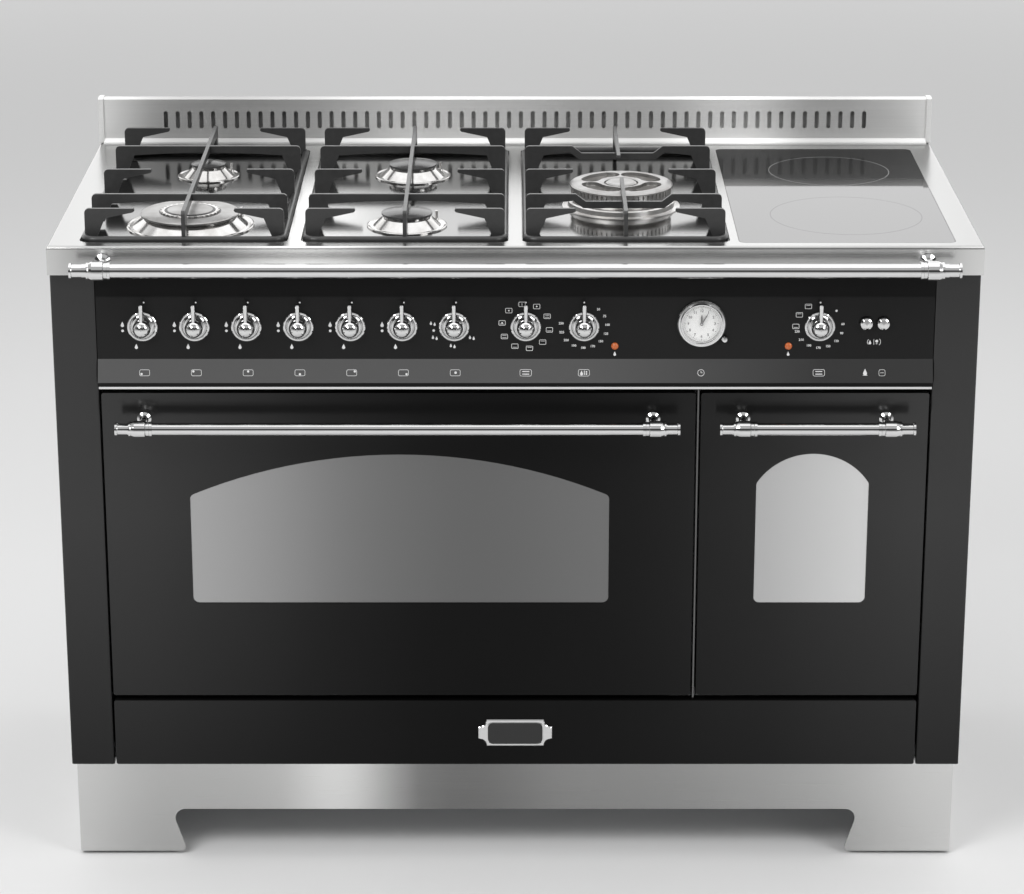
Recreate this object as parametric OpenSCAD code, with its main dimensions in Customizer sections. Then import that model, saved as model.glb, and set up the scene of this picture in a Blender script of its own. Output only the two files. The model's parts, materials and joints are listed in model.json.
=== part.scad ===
// Free-standing range cooker, 120 cm wide: two ovens, five gas burners and a
// ceramic glass zone, a storage drawer, a splashback and a towel rail.
// The floor is Z = 0, the front looks along -Y, and X = 0 is the middle.

/* [Body] */
// Full width, across the hob; bays, ovens, doors and controls spread with it
cooker_w = 1200; // [1160:5:1260]
// Depth of the hob, from the front of its lip to its back edge
hob_d = 600; // [580:5:640]
// Distance from the front of the lip back to the plane of the doors
face_setback = 20; // [12:1:30]
// Width of each front pillar
pillar_w = 58; // [50:1:70]
// How far each pillar's inner edge folds back
pillar_return = 60; // [50:1:80]
// Thickness of the folded steel sheet
sheet = 2; // [1.5:0.5:3]
// Radius of the pillars' folded corners
pillar_r = 3; // [2:0.5:5]
// Distance from the hob's back edge to the back panel
back_inset = 30; // [25:1:45]

/* [Heights] */
// Gap between the floor and the skirt
skirt_lift = 5; // [3:1:10]
// Height of the skirt
skirt_h = 141; // [120:1:160]
// Height of the drawer front
drawer_h = 93; // [85:1:120]
// Gap between the drawer front and the doors
row_gap = 8; // [6:0.5:12]
// Height of both oven doors
door_h = 425.5; // [400:0.5:460]
// Gap between the doors and the trim strip
trim_gap = 6; // [4:0.5:9]
// Height of the trim strip
trim_h = 3; // [2:0.5:5]
// Gap between the trim strip and the control panel
strip_gap = 3.5; // [2:0.5:6]
// Height of the panel's sloping lower strip
strip_h = 34; // [28:1:40]
// Height of the upright part of the control panel
panel_h = 118; // [110:1:130]
// Height of the hob's folded lip
lip_h = 38; // [32:1:45]

/* [Skirt and feet] */
// Distance from the door plane back to the skirt
skirt_setback = 25; // [22:1:40]
// How much narrower the skirt is than the hob, at each side
skirt_inset = 3; // [2:1:10]
// Half the width of the skirt's cut-out at the floor
cutout_half = 450; // [400:5:480]
// Height of the cut-out's top edge above the floor
cutout_z = 68; // [55:1:80]
// Lean of the cut-out's ends
cutout_lean = 18; // [5:1:25]
// Radius of the cut-out's upper corners
cutout_r = 14; // [8:1:18]
// Radius of the skirt feet's lower corners
toe_r = 7; // [3:1:10]
// Radius of each levelling foot's disc
foot_r = 23; // [18:1:28]
// Height of each levelling foot's disc
foot_h = 9; // [6:1:14]
// Radius of each foot's screw
foot_screw_r = 6; // [5:0.5:8]
// Radius of each foot's leg
leg_r = 17; // [14:1:20]
// Length of screw that shows under each leg
foot_screw_out = 16; // [8:1:30]
// Distance of the feet from the cooker's sides
foot_in_x = 62; // [50:1:90]
// Distance of the feet from the skirt's front and from the back panel
foot_in_y = 60; // [50:1:90]

/* [Hob] */
// Thickness of the hob's steel sheet
hob_sheet = 2; // [1.5:0.5:3]
// Radius of the lip's top edge
lip_r = 4; // [3:0.5:6]
// Distance between the middles of neighbouring bays
bay_pitch = 284.5; // [280:0.5:288]
// Width of each gas bay's tray
tray_w = 268; // [262:1:274]
// Distance from the lip's front to the trays
tray_front = 22; // [18:1:26]
// Length of the trays, front to back
tray_l = 516; // [500:1:525]
// Depth of the trays
tray_depth = 5; // [4:0.5:8]
// Radius of the trays' corners
tray_r = 12; // [8:1:20]
// Width of the ceramic glass
glass_w = 278; // [272:1:280]
// Length of the ceramic glass
glass_l = 522; // [500:1:530]
// Thickness of the ceramic glass
glass_t = 4; // [3:0.5:6]
// Radius of the glass's corners
glass_r = 9; // [5:1:14]
// Width of the ledge that the glass lies on
glass_ledge = 12; // [8:1:20]

/* [Splashback] */
// Height of the splashback above the hob
splash_h = 64; // [55:1:80]
// Depth of the splashback
splash_d = 20; // [14:1:28]
// Width of each end flange
flange_w = 7; // [5:1:10]
// How far the end flanges stand above the splashback
flange_up = 2.5; // [1:0.5:5]
// Number of air slots
slot_n = 60; // [40:1:64]
// Distance between neighbouring slots
slot_pitch = 17.07; // [16:0.01:17.5]
// Width of each slot
slot_w = 6; // [4:0.5:8]
// Length of each slot
slot_l = 25.3; // [18:0.1:32]
// Height of the slots' lower ends above the hob
slot_z = 21.5; // [15:0.5:25]
// Depth of the folded foot in front of the splashback
splash_foot = 12; // [8:1:16]

/* [Burners] */
// Distance from the lip's front to the front burners
front_burner = 126; // [122:1:134]
// Distance from the lip's front to the rear burners
rear_burner = 400; // [392:1:404]
// Distance from the lip's front to the wok burner
wok_burner_in = 232; // [225:1:262]
// Radius of the rapid burner's cap
rapid_r = 64.5; // [58:0.5:68]
// Radius of the semi-rapid burners' caps
semi_r = 33.5; // [30:0.5:38]
// Radius of the auxiliary burner's cap
aux_r = 24; // [21:0.5:28]
// Radius of the wok burner's ring cap
wok_r = 69; // [64:0.5:74]
// Height of the ordinary caps' tops above the trays
cap_top = 22; // [20:0.5:24]
// Height of the wok burner's ring above the trays
wok_top = 34; // [32:0.5:36]
// Thickness of the burner caps' rims
cap_t = 3.5; // [3:0.5:4.5]
// How far each burner's cone reaches past its cap
cone_out = 10; // [7:0.5:12]
// How far each burner's trim ring reaches past its cap
trim_out = 19; // [17:0.5:21]
// Radius of each spark plug
spark_r = 2; // [1.5:0.25:2.5]

/* [Pan supports] */
// Width of each pan support
grate_w = 257; // [250:1:260]
// Length of each pan support
grate_l = 498; // [480:1:500]
// Height of the pan supports' tops above the trays
grate_h = 43; // [41:1:46]
// Radius of the frame's rod
rod_r = 4.5; // [4:0.25:5.5]
// Radius of the frame's corners
grate_r = 16; // [12:1:24]
// Thickness of the blades
blade_t = 5; // [4:0.5:7]
// Height of a blade at its thinnest
blade_h = 9; // [8:0.5:12]
// Width of each blade's leg at its foot
leg_w = 16; // [14:1:20]
// How far each leg's inner edge leans in towards its top
leg_lean = 10; // [6:1:14]
// Radius of the blades' upper outer corners
blade_r = 6; // [3:0.5:8]
// Depth of the dips round the wok burner
wok_dip = 10; // [8:0.5:12]
// Half the width of each dip
dip_half = 50; // [42:1:54]
// Gap between the tips of a pair of fingers
finger_gap = 128; // [118:1:140]
// Gap between the tips of the wok support's long fingers
wok_finger_gap = 124; // [116:1:136]

/* [Doors] */
// Width of the small oven's door
small_door_w = 297; // [285:1:320]
// Gap between the doors and the pillars
door_side_gap = 2.5; // [2:0.5:4]
// Gap between the two doors
door_mid_gap = 7.5; // [6:0.5:10]
// Thickness of the doors
door_t = 34; // [30:1:36]
// Radius of the doors' corners
door_r = 3; // [2:0.5:5]
// Gap between the doors and the oven fronts, for the seal
seal_gap = 6; // [6:0.5:9]
// Height of the windows' lower edges above the doors' lower edges
window_up = 132; // [115:1:140]
// Width of the main window
main_window_w = 552; // [480:1:600]
// Height of the main window at its sides
main_window_side = 152; // [130:1:170]
// Rise of the main window's arch
main_window_rise = 57; // [40:1:70]
// Width of the small window
small_window_w = 148; // [120:1:180]
// Height of the small window at its sides
small_window_side = 169; // [140:1:180]
// Rise of the small window's arch
small_window_rise = 41; // [30:1:55]
// Radius of the windows' corners
window_r = 8; // [5:1:14]
// Thickness of the door panes
pane_t = 4; // [3:0.5:5]
// How far the panes reach past the windows
pane_over = 14; // [10:1:18]

/* [Door hinges] */
// Distance from the door plane back to the hinge axis
hinge_in = 12; // [11:0.5:13]
// Height of the hinge axis above the doors' lower edges
hinge_up = 14; // [12:0.5:16]
// Radius of the hinge pins
hinge_pin_r = 4; // [3:0.25:4.5]
// Thickness of the fixed hinge plates
hinge_plate_t = 8; // [6:0.5:10]
// Thickness of each of the door's hinge cheeks
hinge_cheek_t = 8; // [6:0.5:10]
// Distance from the doors' sides to the hinges
hinge_side = 45; // [35:1:60]
// Radial clearance of pins and shafts in their bores
pin_clear = 0.05; // [0.02:0.01:0.1]
// Side clearance between hinge plate and cheeks
cheek_clear = 1; // [0.5:0.25:1.5]

/* [Handles and rail] */
// Distance from the face to the middle of the handles and the rail
bar_out = 45; // [40:1:55]
// Radius of the door handles
handle_r = 8; // [7:0.25:9]
// Distance from the doors' tops down to the handles
handle_down = 35; // [30:1:45]
// Distance from the main door's sides to its handle's ends
main_handle_in = 22; // [15:1:40]
// Distance from the small door's sides to its handle's ends
small_handle_in = 22; // [15:1:40]
// Distance from a handle's end to the middle of its bracket
bracket_in = 33; // [30:1:45]
// Radius of the towel rail
rail_r = 9.25; // [8:0.25:10]
// Height of the rail below the hob's surface
rail_down = 20; // [18:1:24]
// Distance from the hob's sides to the rail's ends
rail_in = 35; // [20:1:60]
// Distance from the rail's ends to the middle of its brackets
rail_bracket_in = 37; // [32:1:50]

/* [Controls] */
// Distance from the panel's middle to the first knob, on the left
knob_first = 482.4; // [470:0.1:500]
// Distance between neighbouring burner knobs
knob_pitch = 67.2; // [60:0.1:69]
// Number of burner knobs
knob_n = 7;
// Place of the oven function knob
function_x = 13.5; // [8:0.5:20]
// Place of the oven heat knob
heat_x = 89; // [80:0.5:95]
// Place of the small oven's knob
small_knob_x = 394; // [385:0.5:402]
// Height of the knobs above the sloping strip
knob_up = 44; // [40:0.5:60]
// Radius of the knobs' bezels
bezel_r = 20; // [18:0.5:21]
// Height of the bezels' rims
bezel_h = 4; // [3:0.25:5]
// Radius of the knobs' hubs
hub_r = 11.8; // [10:0.2:13]
// How far the knobs stand out of the panel
knob_out = 23; // [20:0.5:28]
// Length of the knobs' levers, from the axis
lever_l = 33; // [28:0.5:34]
// Radius of the levers' tips
lever_r = 3.1; // [2.5:0.1:3.5]
// Radius of the knobs' shafts
shaft_r = 4; // [3:0.25:4.5]
// Place of the clock
clock_x = 241; // [225:1:260]
// Height of the clock above the sloping strip
clock_up = 48; // [44:0.5:60]
// Radius of the clock's bezel
clock_r = 31.5; // [28:0.5:34]
// Radius of the clock's dial
dial_r = 24; // [21:0.5:25]
// Height of the clock's bezel
clock_h = 8; // [7:0.5:11]
// Radius of the clock's setting knob
setter_r = 4.2; // [3:0.1:5]
// Place of the left button
button_x = 454; // [445:0.5:470]
// Distance between the two buttons
button_pitch = 22; // [21:0.5:26]
// Radius of the buttons
button_r = 8.6; // [7:0.1:9.5]
// Travel of the buttons
button_travel = 3; // [2:0.5:4]
// Radius of the indicator lamps
lamp_r = 4.75; // [4:0.25:6]
// Place of the left lamp
left_lamp_x = 129; // [125:1:140]
// Place of the right lamp
right_lamp_x = 354; // [340:1:358]
// Height of the lamps above the sloping strip
lamp_up = 17.5; // [14:0.5:22]
// How far the sloping strip's lower edge stands forward
strip_out = 12; // [8:1:18]

/* [Ovens] */
// Thickness of the ovens' sheet
oven_sheet = 1.5; // [1:0.25:2]
// Inner width of the main oven
main_oven_w = 660; // [600:5:680]
// Inner width of the small oven
small_oven_w = 216; // [190:1:230]
// Inner height of the ovens
oven_h = 350; // [320:1:360]
// Inner depth of the ovens
oven_d = 430; // [400:5:440]
// Height of the ovens' floors above the doors' lower edges
oven_up = 42; // [38:1:60]
// Radius of the ovens' corners
oven_r = 22; // [15:1:35]
// Radius of the beads that carry the racks
bead_r = 4; // [3:0.5:5]
// Distance between rack levels
rack_pitch = 70; // [60:1:75]
// Radius of the racks' frame wire
rack_r = 3; // [2.5:0.25:3.5]
// Radius of the racks' cross wires
wire_r = 1.6; // [1.25:0.05:2]
// Distance between the racks' wires
wire_pitch = 30; // [20:1:45]

/* [Drawer] */
// Thickness of the drawer front
drawer_front_t = 18; // [14:1:22]
// Depth of the drawer's tray
drawer_d = 470; // [400:5:480]
// Height of the drawer's tray
tray_side_h = 72; // [55:1:76]
// Thickness of the tray's sheet
tray_sheet = 1.5; // [1:0.25:2]
// Width of each runner
runner_w = 12; // [10:0.5:15]
// Height of each runner
runner_h = 20; // [16:1:26]
// Clearance of the drawer's slides in the runners
slide_clear = 0.5; // [0.4:0.1:0.8]

/* [Gas and cable] */
// Radius of the gas pipe
pipe_r = 9; // [7:0.5:10]
// Radius over the gas inlet's thread
inlet_r = 10.48; // [8:0.01:13.3]
// Length of the gas inlet's thread
inlet_l = 18; // [14:1:22]
// Height of the gas inlet below the hob's surface
inlet_down = 82; // [70:1:110]
// Distance of the gas inlet from the right side
inlet_in = 70; // [60:1:90]
// Radius of the cable entry
cable_r = 8; // [6:0.5:10]
// Length of the cable entry's boss
cable_boss_l = 12; // [8:1:16]
// Height of the cable entry above the base
cable_up = 60; // [50:1:80]
// Distance of the cable entry from the left side
cable_in = 90; // [70:1:120]

/* [Hidden] */
$fn = 48;
// A small overlap that joins or cuts cleanly
eps = 0.5;

// Colours
black = "#303030";
steel = "#c4c4c4";
chrome = "#dcdcdc";
enamel = "#1c1c1c";

// A size across the cooker: those above are given for a width of 1200, and spread with it
function across(x) = x * cooker_w / 1200;

// Handle fittings, as shares of the bar that they fit
collar_r = handle_r * 1.38;
rail_collar_r = rail_r * 1.35;

// Depths, from the front of the rail to the back of the hob
total_d = hob_d + bar_out + rail_collar_r;
lip_y = bar_out + rail_collar_r - total_d / 2;
back_y = lip_y + hob_d;
face_y = lip_y + face_setback;
back_panel_y = back_y - back_inset;
door_back_y = face_y + door_t;
oven_y = door_back_y + seal_gap;

// Heights, from the floor up
base_z = skirt_lift + skirt_h;
drawer_top_z = base_z + drawer_h;
door_z = drawer_top_z + row_gap;
door_top_z = door_z + door_h;
trim_z = door_top_z + trim_gap;
strip_z = trim_z + trim_h + strip_gap;
bend_z = strip_z + strip_h;
lip_z = bend_z + panel_h;
hob_z = lip_z + lip_h;
tray_z = hob_z - tray_depth;
knob_z = bend_z + knob_up;
clock_z = bend_z + clock_up;
lamp_z = bend_z + lamp_up;
window_z = door_z + window_up;
hinge_z = door_z + hinge_up;
hinge_y = face_y + hinge_in;
handle_z = door_top_z - handle_down;
oven_z = door_z + oven_up;

// Widths
half_w = cooker_w / 2;
side_in = half_w - pillar_w;
small_x1 = side_in - door_side_gap;
small_x0 = small_x1 - across(small_door_w);
main_x0 = -side_in + door_side_gap;
main_x1 = small_x0 - door_mid_gap;
main_door_w = main_x1 - main_x0;
main_mid = (main_x0 + main_x1) / 2;
small_mid = (small_x0 + small_x1) / 2;
divider_x = (main_x1 + small_x0) / 2;
bays = [for (i = [0 : 3]) (i - 1.5) * across(bay_pitch)];

// Radii and levels of the burners, each [x, y from the lip, cap radius]
aux_place = [bays[0], lip_y + rear_burner];
rapid_place = [bays[0], lip_y + front_burner];
semi_places = [for (d = [front_burner, rear_burner]) [bays[1], lip_y + d]];
wok_place = [bays[2], lip_y + wok_burner_in];
cup_share = 0.62;
cup_wall = 3;
cup_deep = 28;
wok_cup_r = wok_r * 0.6;

// Knobs in a row, from the left
burner_knob_x = [for (i = [0 : knob_n - 1]) i * across(knob_pitch) - across(knob_first)];
dial_knob_x = [across(function_x), across(heat_x), across(small_knob_x)];
all_knob_x = concat(burner_knob_x, dial_knob_x);
gas_knob_n = 6;
bush_r = shaft_r + 2.5;
shaft_l = 34;
valve_w = 24;
valve_y = face_y + sheet + 10;
valve_d = 30;
pipe_y = valve_y + valve_d + pipe_r - 2;
pipe_z = knob_z;
switch_w = 34;
inlet_x = half_w - inlet_in;
inlet_z = hob_z - inlet_down;
cable_x = cable_in - half_w;
cable_z = base_z + cable_up;

// Clock
clock_hole_r = dial_r + 2.5;
setter_reach = clock_r + setter_r + 0.5;
setter_angle = -34;
hand_t = 0.6;
hour_out = 2.6;
minute_out = hour_out + hand_t + 0.4;
hour_l = 13;
minute_l = 17;
minute_angle = 30;

// A rectangle with round corners, from its lower left corner
module rounded(x0, y0, w, h, r) {
    translate([x0 + r, y0]) square([w - 2 * r, h]);
    translate([x0, y0 + r]) square([w, h - 2 * r]);
    for (cx = [x0 + r, x0 + w - r], cy = [y0 + r, y0 + h - r])
        translate([cx, cy]) circle(r);
}

// Puts an outline drawn in X and Z at depth y, and gives it thickness t backwards
module upright(y, t) {
    translate([0, y + t, 0]) rotate([90, 0, 0]) linear_extrude(t) children();
}

// Puts a piece drawn along +Z on the panel, so that it points out to the front
module on_panel(x, z) {
    translate([x, face_y, z]) rotate([90, 0, 0]) children();
}

// An arched window's outline: straight sides, an arc on top and round corners
module arched(mid, z0, w, side, rise, r) {
    big = (pow(w / 2, 2) + rise * rise) / (2 * rise);
    arc_z = z0 + side + rise - big;
    corner_x = w / 2 - r;
    corner_z = arc_z + sqrt(pow(big - r, 2) - corner_x * corner_x);
    touch_x = corner_x * big / (big - r);
    translate([mid, 0]) {
        translate([-w / 2, z0 + r]) square([w, corner_z - z0 - r]);
        translate([r - w / 2, z0]) square([w - 2 * r, 2 * r]);
        for (s = [-1, 1]) {
            translate([s * corner_x, z0 + r]) circle(r);
            translate([s * corner_x, corner_z]) circle(r);
        }
        intersection() {
            translate([0, arc_z]) circle(big, $fn = 180);
            translate([-touch_x, corner_z - r]) square([2 * touch_x, rise + side]);
        }
    }
}

// Right side: pillar, side sheet and folded edges, seen from above
module side_panel() {
    color(black)
    translate([0, 0, base_z])
    linear_extrude(lip_z - base_z)
    intersection() {
        union() {
            translate([side_in, face_y]) square([pillar_w, sheet]);
            translate([side_in, face_y]) square([sheet, pillar_return]);
            translate([half_w - sheet, face_y]) square([sheet, back_y - face_y]);
            translate([half_w - back_inset, back_y - sheet]) square([back_inset, sheet]);
        }
        rounded(side_in, face_y, pillar_w, back_y - face_y, pillar_r);
    }
}

module left_side_panel() {
    mirror([1, 0, 0]) side_panel();
}

module right_side_panel() {
    side_panel();
}

module back_panel() {
    vent_l = 90;
    vent_h = 6;
    vent_pitch = 22;
    vent_n = 7;
    color("#9a9a9a") difference() {
        union() {
            translate([sheet - half_w, back_panel_y - sheet, base_z + sheet])
                cube([cooker_w - 2 * sheet, sheet, hob_z - hob_sheet - base_z - sheet]);
            translate([cable_x, back_panel_y - eps, cable_z])
                rotate([-90, 0, 0]) cylinder(r = cable_r + 5, h = cable_boss_l - sheet + eps);
        }
        upright(back_panel_y - 2 * sheet, 3 * sheet)
            for (x = [-half_w / 2, half_w / 2], i = [0 : vent_n - 1])
                rounded(x - vent_l / 2, door_z + 60 + i * vent_pitch, vent_l, vent_h, vent_h / 2 - 0.01);
        translate([cable_x, back_panel_y - 2 * sheet, cable_z])
            rotate([-90, 0, 0]) cylinder(r = cable_r, h = cable_boss_l + 2 * sheet);
        translate([inlet_x, back_panel_y - 2 * sheet, inlet_z])
            rotate([-90, 0, 0]) cylinder(r = pipe_r + 0.5, h = 4 * sheet);
    }
}

// Floor of the body: it lies on the skirt, fits between the pillars and turns up at its sides
module base_pan() {
    front = face_y + drawer_front_t + 2;
    wide_y = face_y + pillar_return;
    rear = back_panel_y - sheet;
    color("#8c8c8c") {
        translate([-side_in, front, base_z]) cube([2 * side_in, rear - front, sheet]);
        translate([sheet - half_w, wide_y, base_z])
            cube([cooker_w - 2 * sheet, back_panel_y - wide_y, sheet]);
        for (s = [0, 1]) mirror([s, 0, 0]) translate([half_w - 2 * sheet, wide_y, base_z])
            cube([sheet, rear - wide_y, drawer_h / 4]);
    }
}

// Wall between the ovens; its front edge shows as a bright line between the doors
module centre_divider() {
    nose_in = 1.5;
    color(steel)
    translate([divider_x - sheet / 2, face_y + nose_in, door_z - row_gap / 2])
        cube([sheet, back_panel_y - sheet - face_y - nose_in, door_h + row_gap]);
}

// Half outline of the space under the skirt: leaning ends and round corners
module skirt_cutout_half() {
    edge_out = [cos(cutout_lean), -sin(cutout_lean)];
    reach = edge_out[0] * across(cutout_half) + edge_out[1] * skirt_lift;
    top_z = cutout_z - cutout_r;
    top_x = (reach - cutout_r - edge_out[1] * top_z) / edge_out[0];
    toe_z = skirt_lift + toe_r;
    toe_x = (reach + toe_r - edge_out[1] * toe_z) / edge_out[0];
    touch = [top_x, top_z] + cutout_r * edge_out;
    low = [across(cutout_half) - tan(cutout_lean), skirt_lift - 1];
    polygon([
        [-1, skirt_lift - 1], low, [across(cutout_half), skirt_lift], touch,
        [top_x, top_z], [top_x, cutout_z], [-1, cutout_z]
    ]);
    translate([top_x, top_z]) circle(cutout_r);
    difference() {
        polygon([
            [across(cutout_half) - toe_r, skirt_lift - 1], [toe_x, skirt_lift - 1],
            [toe_x, toe_z], [toe_x, toe_z] - toe_r * edge_out, [across(cutout_half) - toe_r, toe_z]
        ]);
        translate([toe_x, toe_z]) circle(toe_r);
        translate([across(cutout_half), toe_z - edge_out[1]]) square([toe_r * 3, toe_r]);
    }
}

module plinth_skirt() {
    half = half_w - skirt_inset;
    front = face_y + skirt_setback;
    color(steel) difference() {
        translate([0, 0, skirt_lift]) linear_extrude(skirt_h) difference() {
            rounded(-half, front, 2 * half, back_panel_y - front, pillar_r);
            rounded(sheet - half, front + sheet, 2 * (half - sheet),
                back_panel_y - front, 1);
        }
        upright(front - eps, sheet + 2 * eps) {
            skirt_cutout_half();
            mirror([1, 0]) skirt_cutout_half();
        }
    }
}

module levelling_feet() {
    front = face_y + skirt_setback + foot_in_y;
    rear = back_panel_y - foot_in_y;
    color("#2a2a2a")
    for (x = [foot_in_x - half_w, half_w - foot_in_x], y = [front, rear])
        translate([x, y, 0]) {
            rotate_extrude() polygon([
                [0, 0], [foot_r - 2, 0], [foot_r, 2], [foot_r, foot_h - 3],
                [foot_screw_r + 3, foot_h], [0, foot_h]
            ]);
            translate([0, 0, foot_h - 1]) cylinder(r = foot_screw_r, h = foot_screw_out + 2);
            translate([0, 0, foot_h + foot_screw_out])
                cylinder(r = leg_r, h = base_z - foot_h - foot_screw_out);
        }
}

// The hob seen along the row: its section, with the top edges rounded
module hob_block(inset, top) {
    x = half_w - inset;
    y0 = lip_y + inset;
    y1 = back_y - inset;
    r = lip_r - inset;
    intersection() {
        upright(y0, y1 - y0) {
            translate([-x, lip_z - 1]) square([2 * x, top - r - lip_z + 1]);
            translate([r - x, top - 2 * r]) square([2 * (x - r), 2 * r]);
            for (s = [-1, 1]) translate([s * (x - r), top - r]) circle(r);
        }
        translate([-x, 0, 0]) rotate([90, 0, 90]) linear_extrude(2 * x) {
            translate([y0, lip_z - 1]) square([y1 - y0, top - r - lip_z + 1]);
            translate([y0 + r, top - 2 * r]) square([y1 - y0 - r, 2 * r]);
            translate([y0 + r, top - r]) circle(r);
        }
    }
}

// A sunken tray's outline in a bay, larger by grow
module tray_outline(x, grow) {
    rounded(x - across(tray_w) / 2 - grow, lip_y + tray_front - grow,
        across(tray_w) + 2 * grow, tray_l + 2 * grow, tray_r + grow);
}

// The glass's outline, larger by grow
module glass_outline(grow) {
    mid_y = lip_y + tray_front + tray_l / 2;
    rounded(bays[3] - across(glass_w) / 2 - grow, mid_y - glass_l / 2 - grow,
        across(glass_w) + 2 * grow, glass_l + 2 * grow, max(glass_r + grow, 1));
}

// Hole in the tray for a burner's cup
module cup_hole(place, r) {
    translate([place[0], place[1], tray_z - hob_sheet - 2]) cylinder(r = r, h = hob_sheet + 4);
}

module hob_top() {
    color(steel) difference() {
        hob_block(0, hob_z);
        translate([-half_w, lip_y, lip_z - 2]) cube([cooker_w, hob_d, 2]);
        difference() {
            hob_block(hob_sheet, hob_z - hob_sheet);
            translate([0, 0, tray_z - hob_sheet]) linear_extrude(tray_depth + 1)
                for (i = [0 : 2]) tray_outline(bays[i], hob_sheet);
            translate([0, 0, hob_z - glass_t - hob_sheet]) linear_extrude(glass_t + 1)
                glass_outline(hob_sheet + 0.5);
        }
        translate([0, 0, tray_z]) linear_extrude(tray_depth + 1)
            for (i = [0 : 2]) tray_outline(bays[i], 0);
        translate([0, 0, hob_z - glass_t]) linear_extrude(glass_t + 1) glass_outline(0.5);
        translate([0, 0, hob_z - 3 * glass_t]) linear_extrude(3 * glass_t)
            glass_outline(-glass_ledge);
        cup_hole(rapid_place, rapid_r * cup_share);
        cup_hole(aux_place, aux_r * cup_share);
        for (p = semi_places) cup_hole(p, semi_r * cup_share);
        cup_hole(wok_place, wok_cup_r);
    }
}

// One air slot, standing, with round ends
module air_slot(x) {
    r = slot_w / 2;
    z = hob_z + slot_z;
    translate([x - r, z + r]) square([slot_w, slot_l - slot_w]);
    for (h = [r, slot_l - r]) translate([x, z + h]) circle(r);
}

// A folded box, closed behind, with a foot that lies on the hob and a flange at each end
module splashback() {
    front = back_y - splash_d;
    span = (slot_n - 1) * across(slot_pitch);
    inner_x = flange_w - half_w;
    inner_w = cooker_w - 2 * flange_w;
    color(steel) difference() {
        union() {
            translate([-half_w, front, hob_z]) cube([cooker_w, splash_d, splash_h]);
            translate([inner_x - eps, 0, 0]) rotate([90, 0, 90]) linear_extrude(inner_w + 2 * eps)
                polygon([
                    [front + eps, hob_z], [front - splash_foot, hob_z],
                    [front - splash_foot, hob_z + sheet], [front - 4, hob_z + sheet],
                    [front, hob_z + sheet + 5], [front + eps, hob_z + sheet + 5]
                ]);
            for (x = [-half_w, half_w - flange_w])
                translate([x, 0, 0]) rotate([90, 0, 90]) linear_extrude(flange_w)
                    rounded(front - 3, hob_z, splash_d + 3, splash_h + flange_up, 2.5);
        }
        translate([inner_x, front + sheet, hob_z - 1])
            cube([inner_w, splash_d - 2 * sheet, splash_h - sheet + 1]);
        upright(front - eps, sheet + 2 * eps)
            for (i = [0 : slot_n - 1]) air_slot(i * across(slot_pitch) - span / 2);
    }
}

// Section of a bar's end, from the bar inwards to its end: [distance from end, radius]
function finial(r) = [
    [0, 0], [0, r * 1.1], [3, r * 1.1], [3.6, r * 0.93], [16, r * 0.93], [16, r]
];

// A round bar along X with turned ends
module bar(x0, x1, r) {
    f = finial(r);
    l = x1 - x0;
    n = len(f);
    translate([x0, 0, 0]) rotate([0, 90, 0]) rotate_extrude()
        polygon(concat(
            [for (p = f) [p[1], p[0]]],
            [for (i = [n - 1 : -1 : 0]) [f[i][1], l - f[i][0]]]
        ));
}

// A turned collar round a bar, with the post that carries it; it points along s
module bracket(r, big, out, s) {
    neck = r + 1.6;
    post_r = r * 0.62;
    rose_r = r * 1.16;
    difference() {
        union() {
            rotate([0, 90, 0]) mirror([0, 0, s > 0 ? 0 : 1]) rotate_extrude()
                polygon([
                    [0, -15], [r + 2.2, -15], [r + 2.2, -13], [neck, -12], [neck + 0.6, -10.5],
                    [big, -8], [big, 6], [neck, 7], [neck, 11], [r + 2, 11.5], [r + 2, 15], [0, 15]
                ]);
            rotate([-90, 0, 0]) rotate_extrude() polygon([
                [0, 0], [post_r * 1.6, 0], [post_r * 1.5, r + 2], [post_r, r + 9],
                [post_r * 0.9, out - 9], [post_r + 1, out - 4], [rose_r, out - 1.5],
                [rose_r, out], [0, out]
            ]);
        }
        rotate([0, 90, 0]) cylinder(r = r, h = 6 * r, center = true);
    }
}

module front_rail() {
    color(chrome) translate([0, lip_y - bar_out, hob_z - rail_down])
        bar(rail_in - half_w, half_w - rail_in, rail_r);
}

module rail_brackets() {
    x = half_w - rail_in - rail_bracket_in;
    color(chrome) for (s = [-1, 1])
        translate([s * x, lip_y - bar_out, hob_z - rail_down])
            bracket(rail_r, rail_collar_r, bar_out, -s);
}

// A door's handle: the bar and its two brackets
module door_handle(x0, x1) {
    translate([0, face_y - bar_out, handle_z]) {
        difference() {
            bar(x0, x1, handle_r);
            for (x = [x0 + bracket_in, x1 - bracket_in]) translate([x, 0, 0])
                rotate([0, 90, 0]) difference() {
                    cylinder(r = handle_r + 1, h = 0.4, center = true);
                    cylinder(r = handle_r - 0.2, h = 1, center = true);
                }
        }
        translate([x0 + bracket_in, 0, 0]) bracket(handle_r, collar_r, bar_out, 1);
        translate([x1 - bracket_in, 0, 0]) bracket(handle_r, collar_r, bar_out, -1);
    }
}

// The panel's folded section, seen from the side
module panel_section() {
    lean = sheet * 1.06;
    polygon([
        [face_y, lip_z], [face_y, bend_z], [face_y - strip_out, strip_z],
        [face_y + 22, strip_z], [face_y + 22, strip_z + sheet],
        [face_y - strip_out + lean + 0.5, strip_z + sheet], [face_y + sheet, bend_z],
        [face_y + sheet, lip_z - sheet], [face_y + 16, lip_z - sheet], [face_y + 16, lip_z]
    ]);
}

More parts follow.
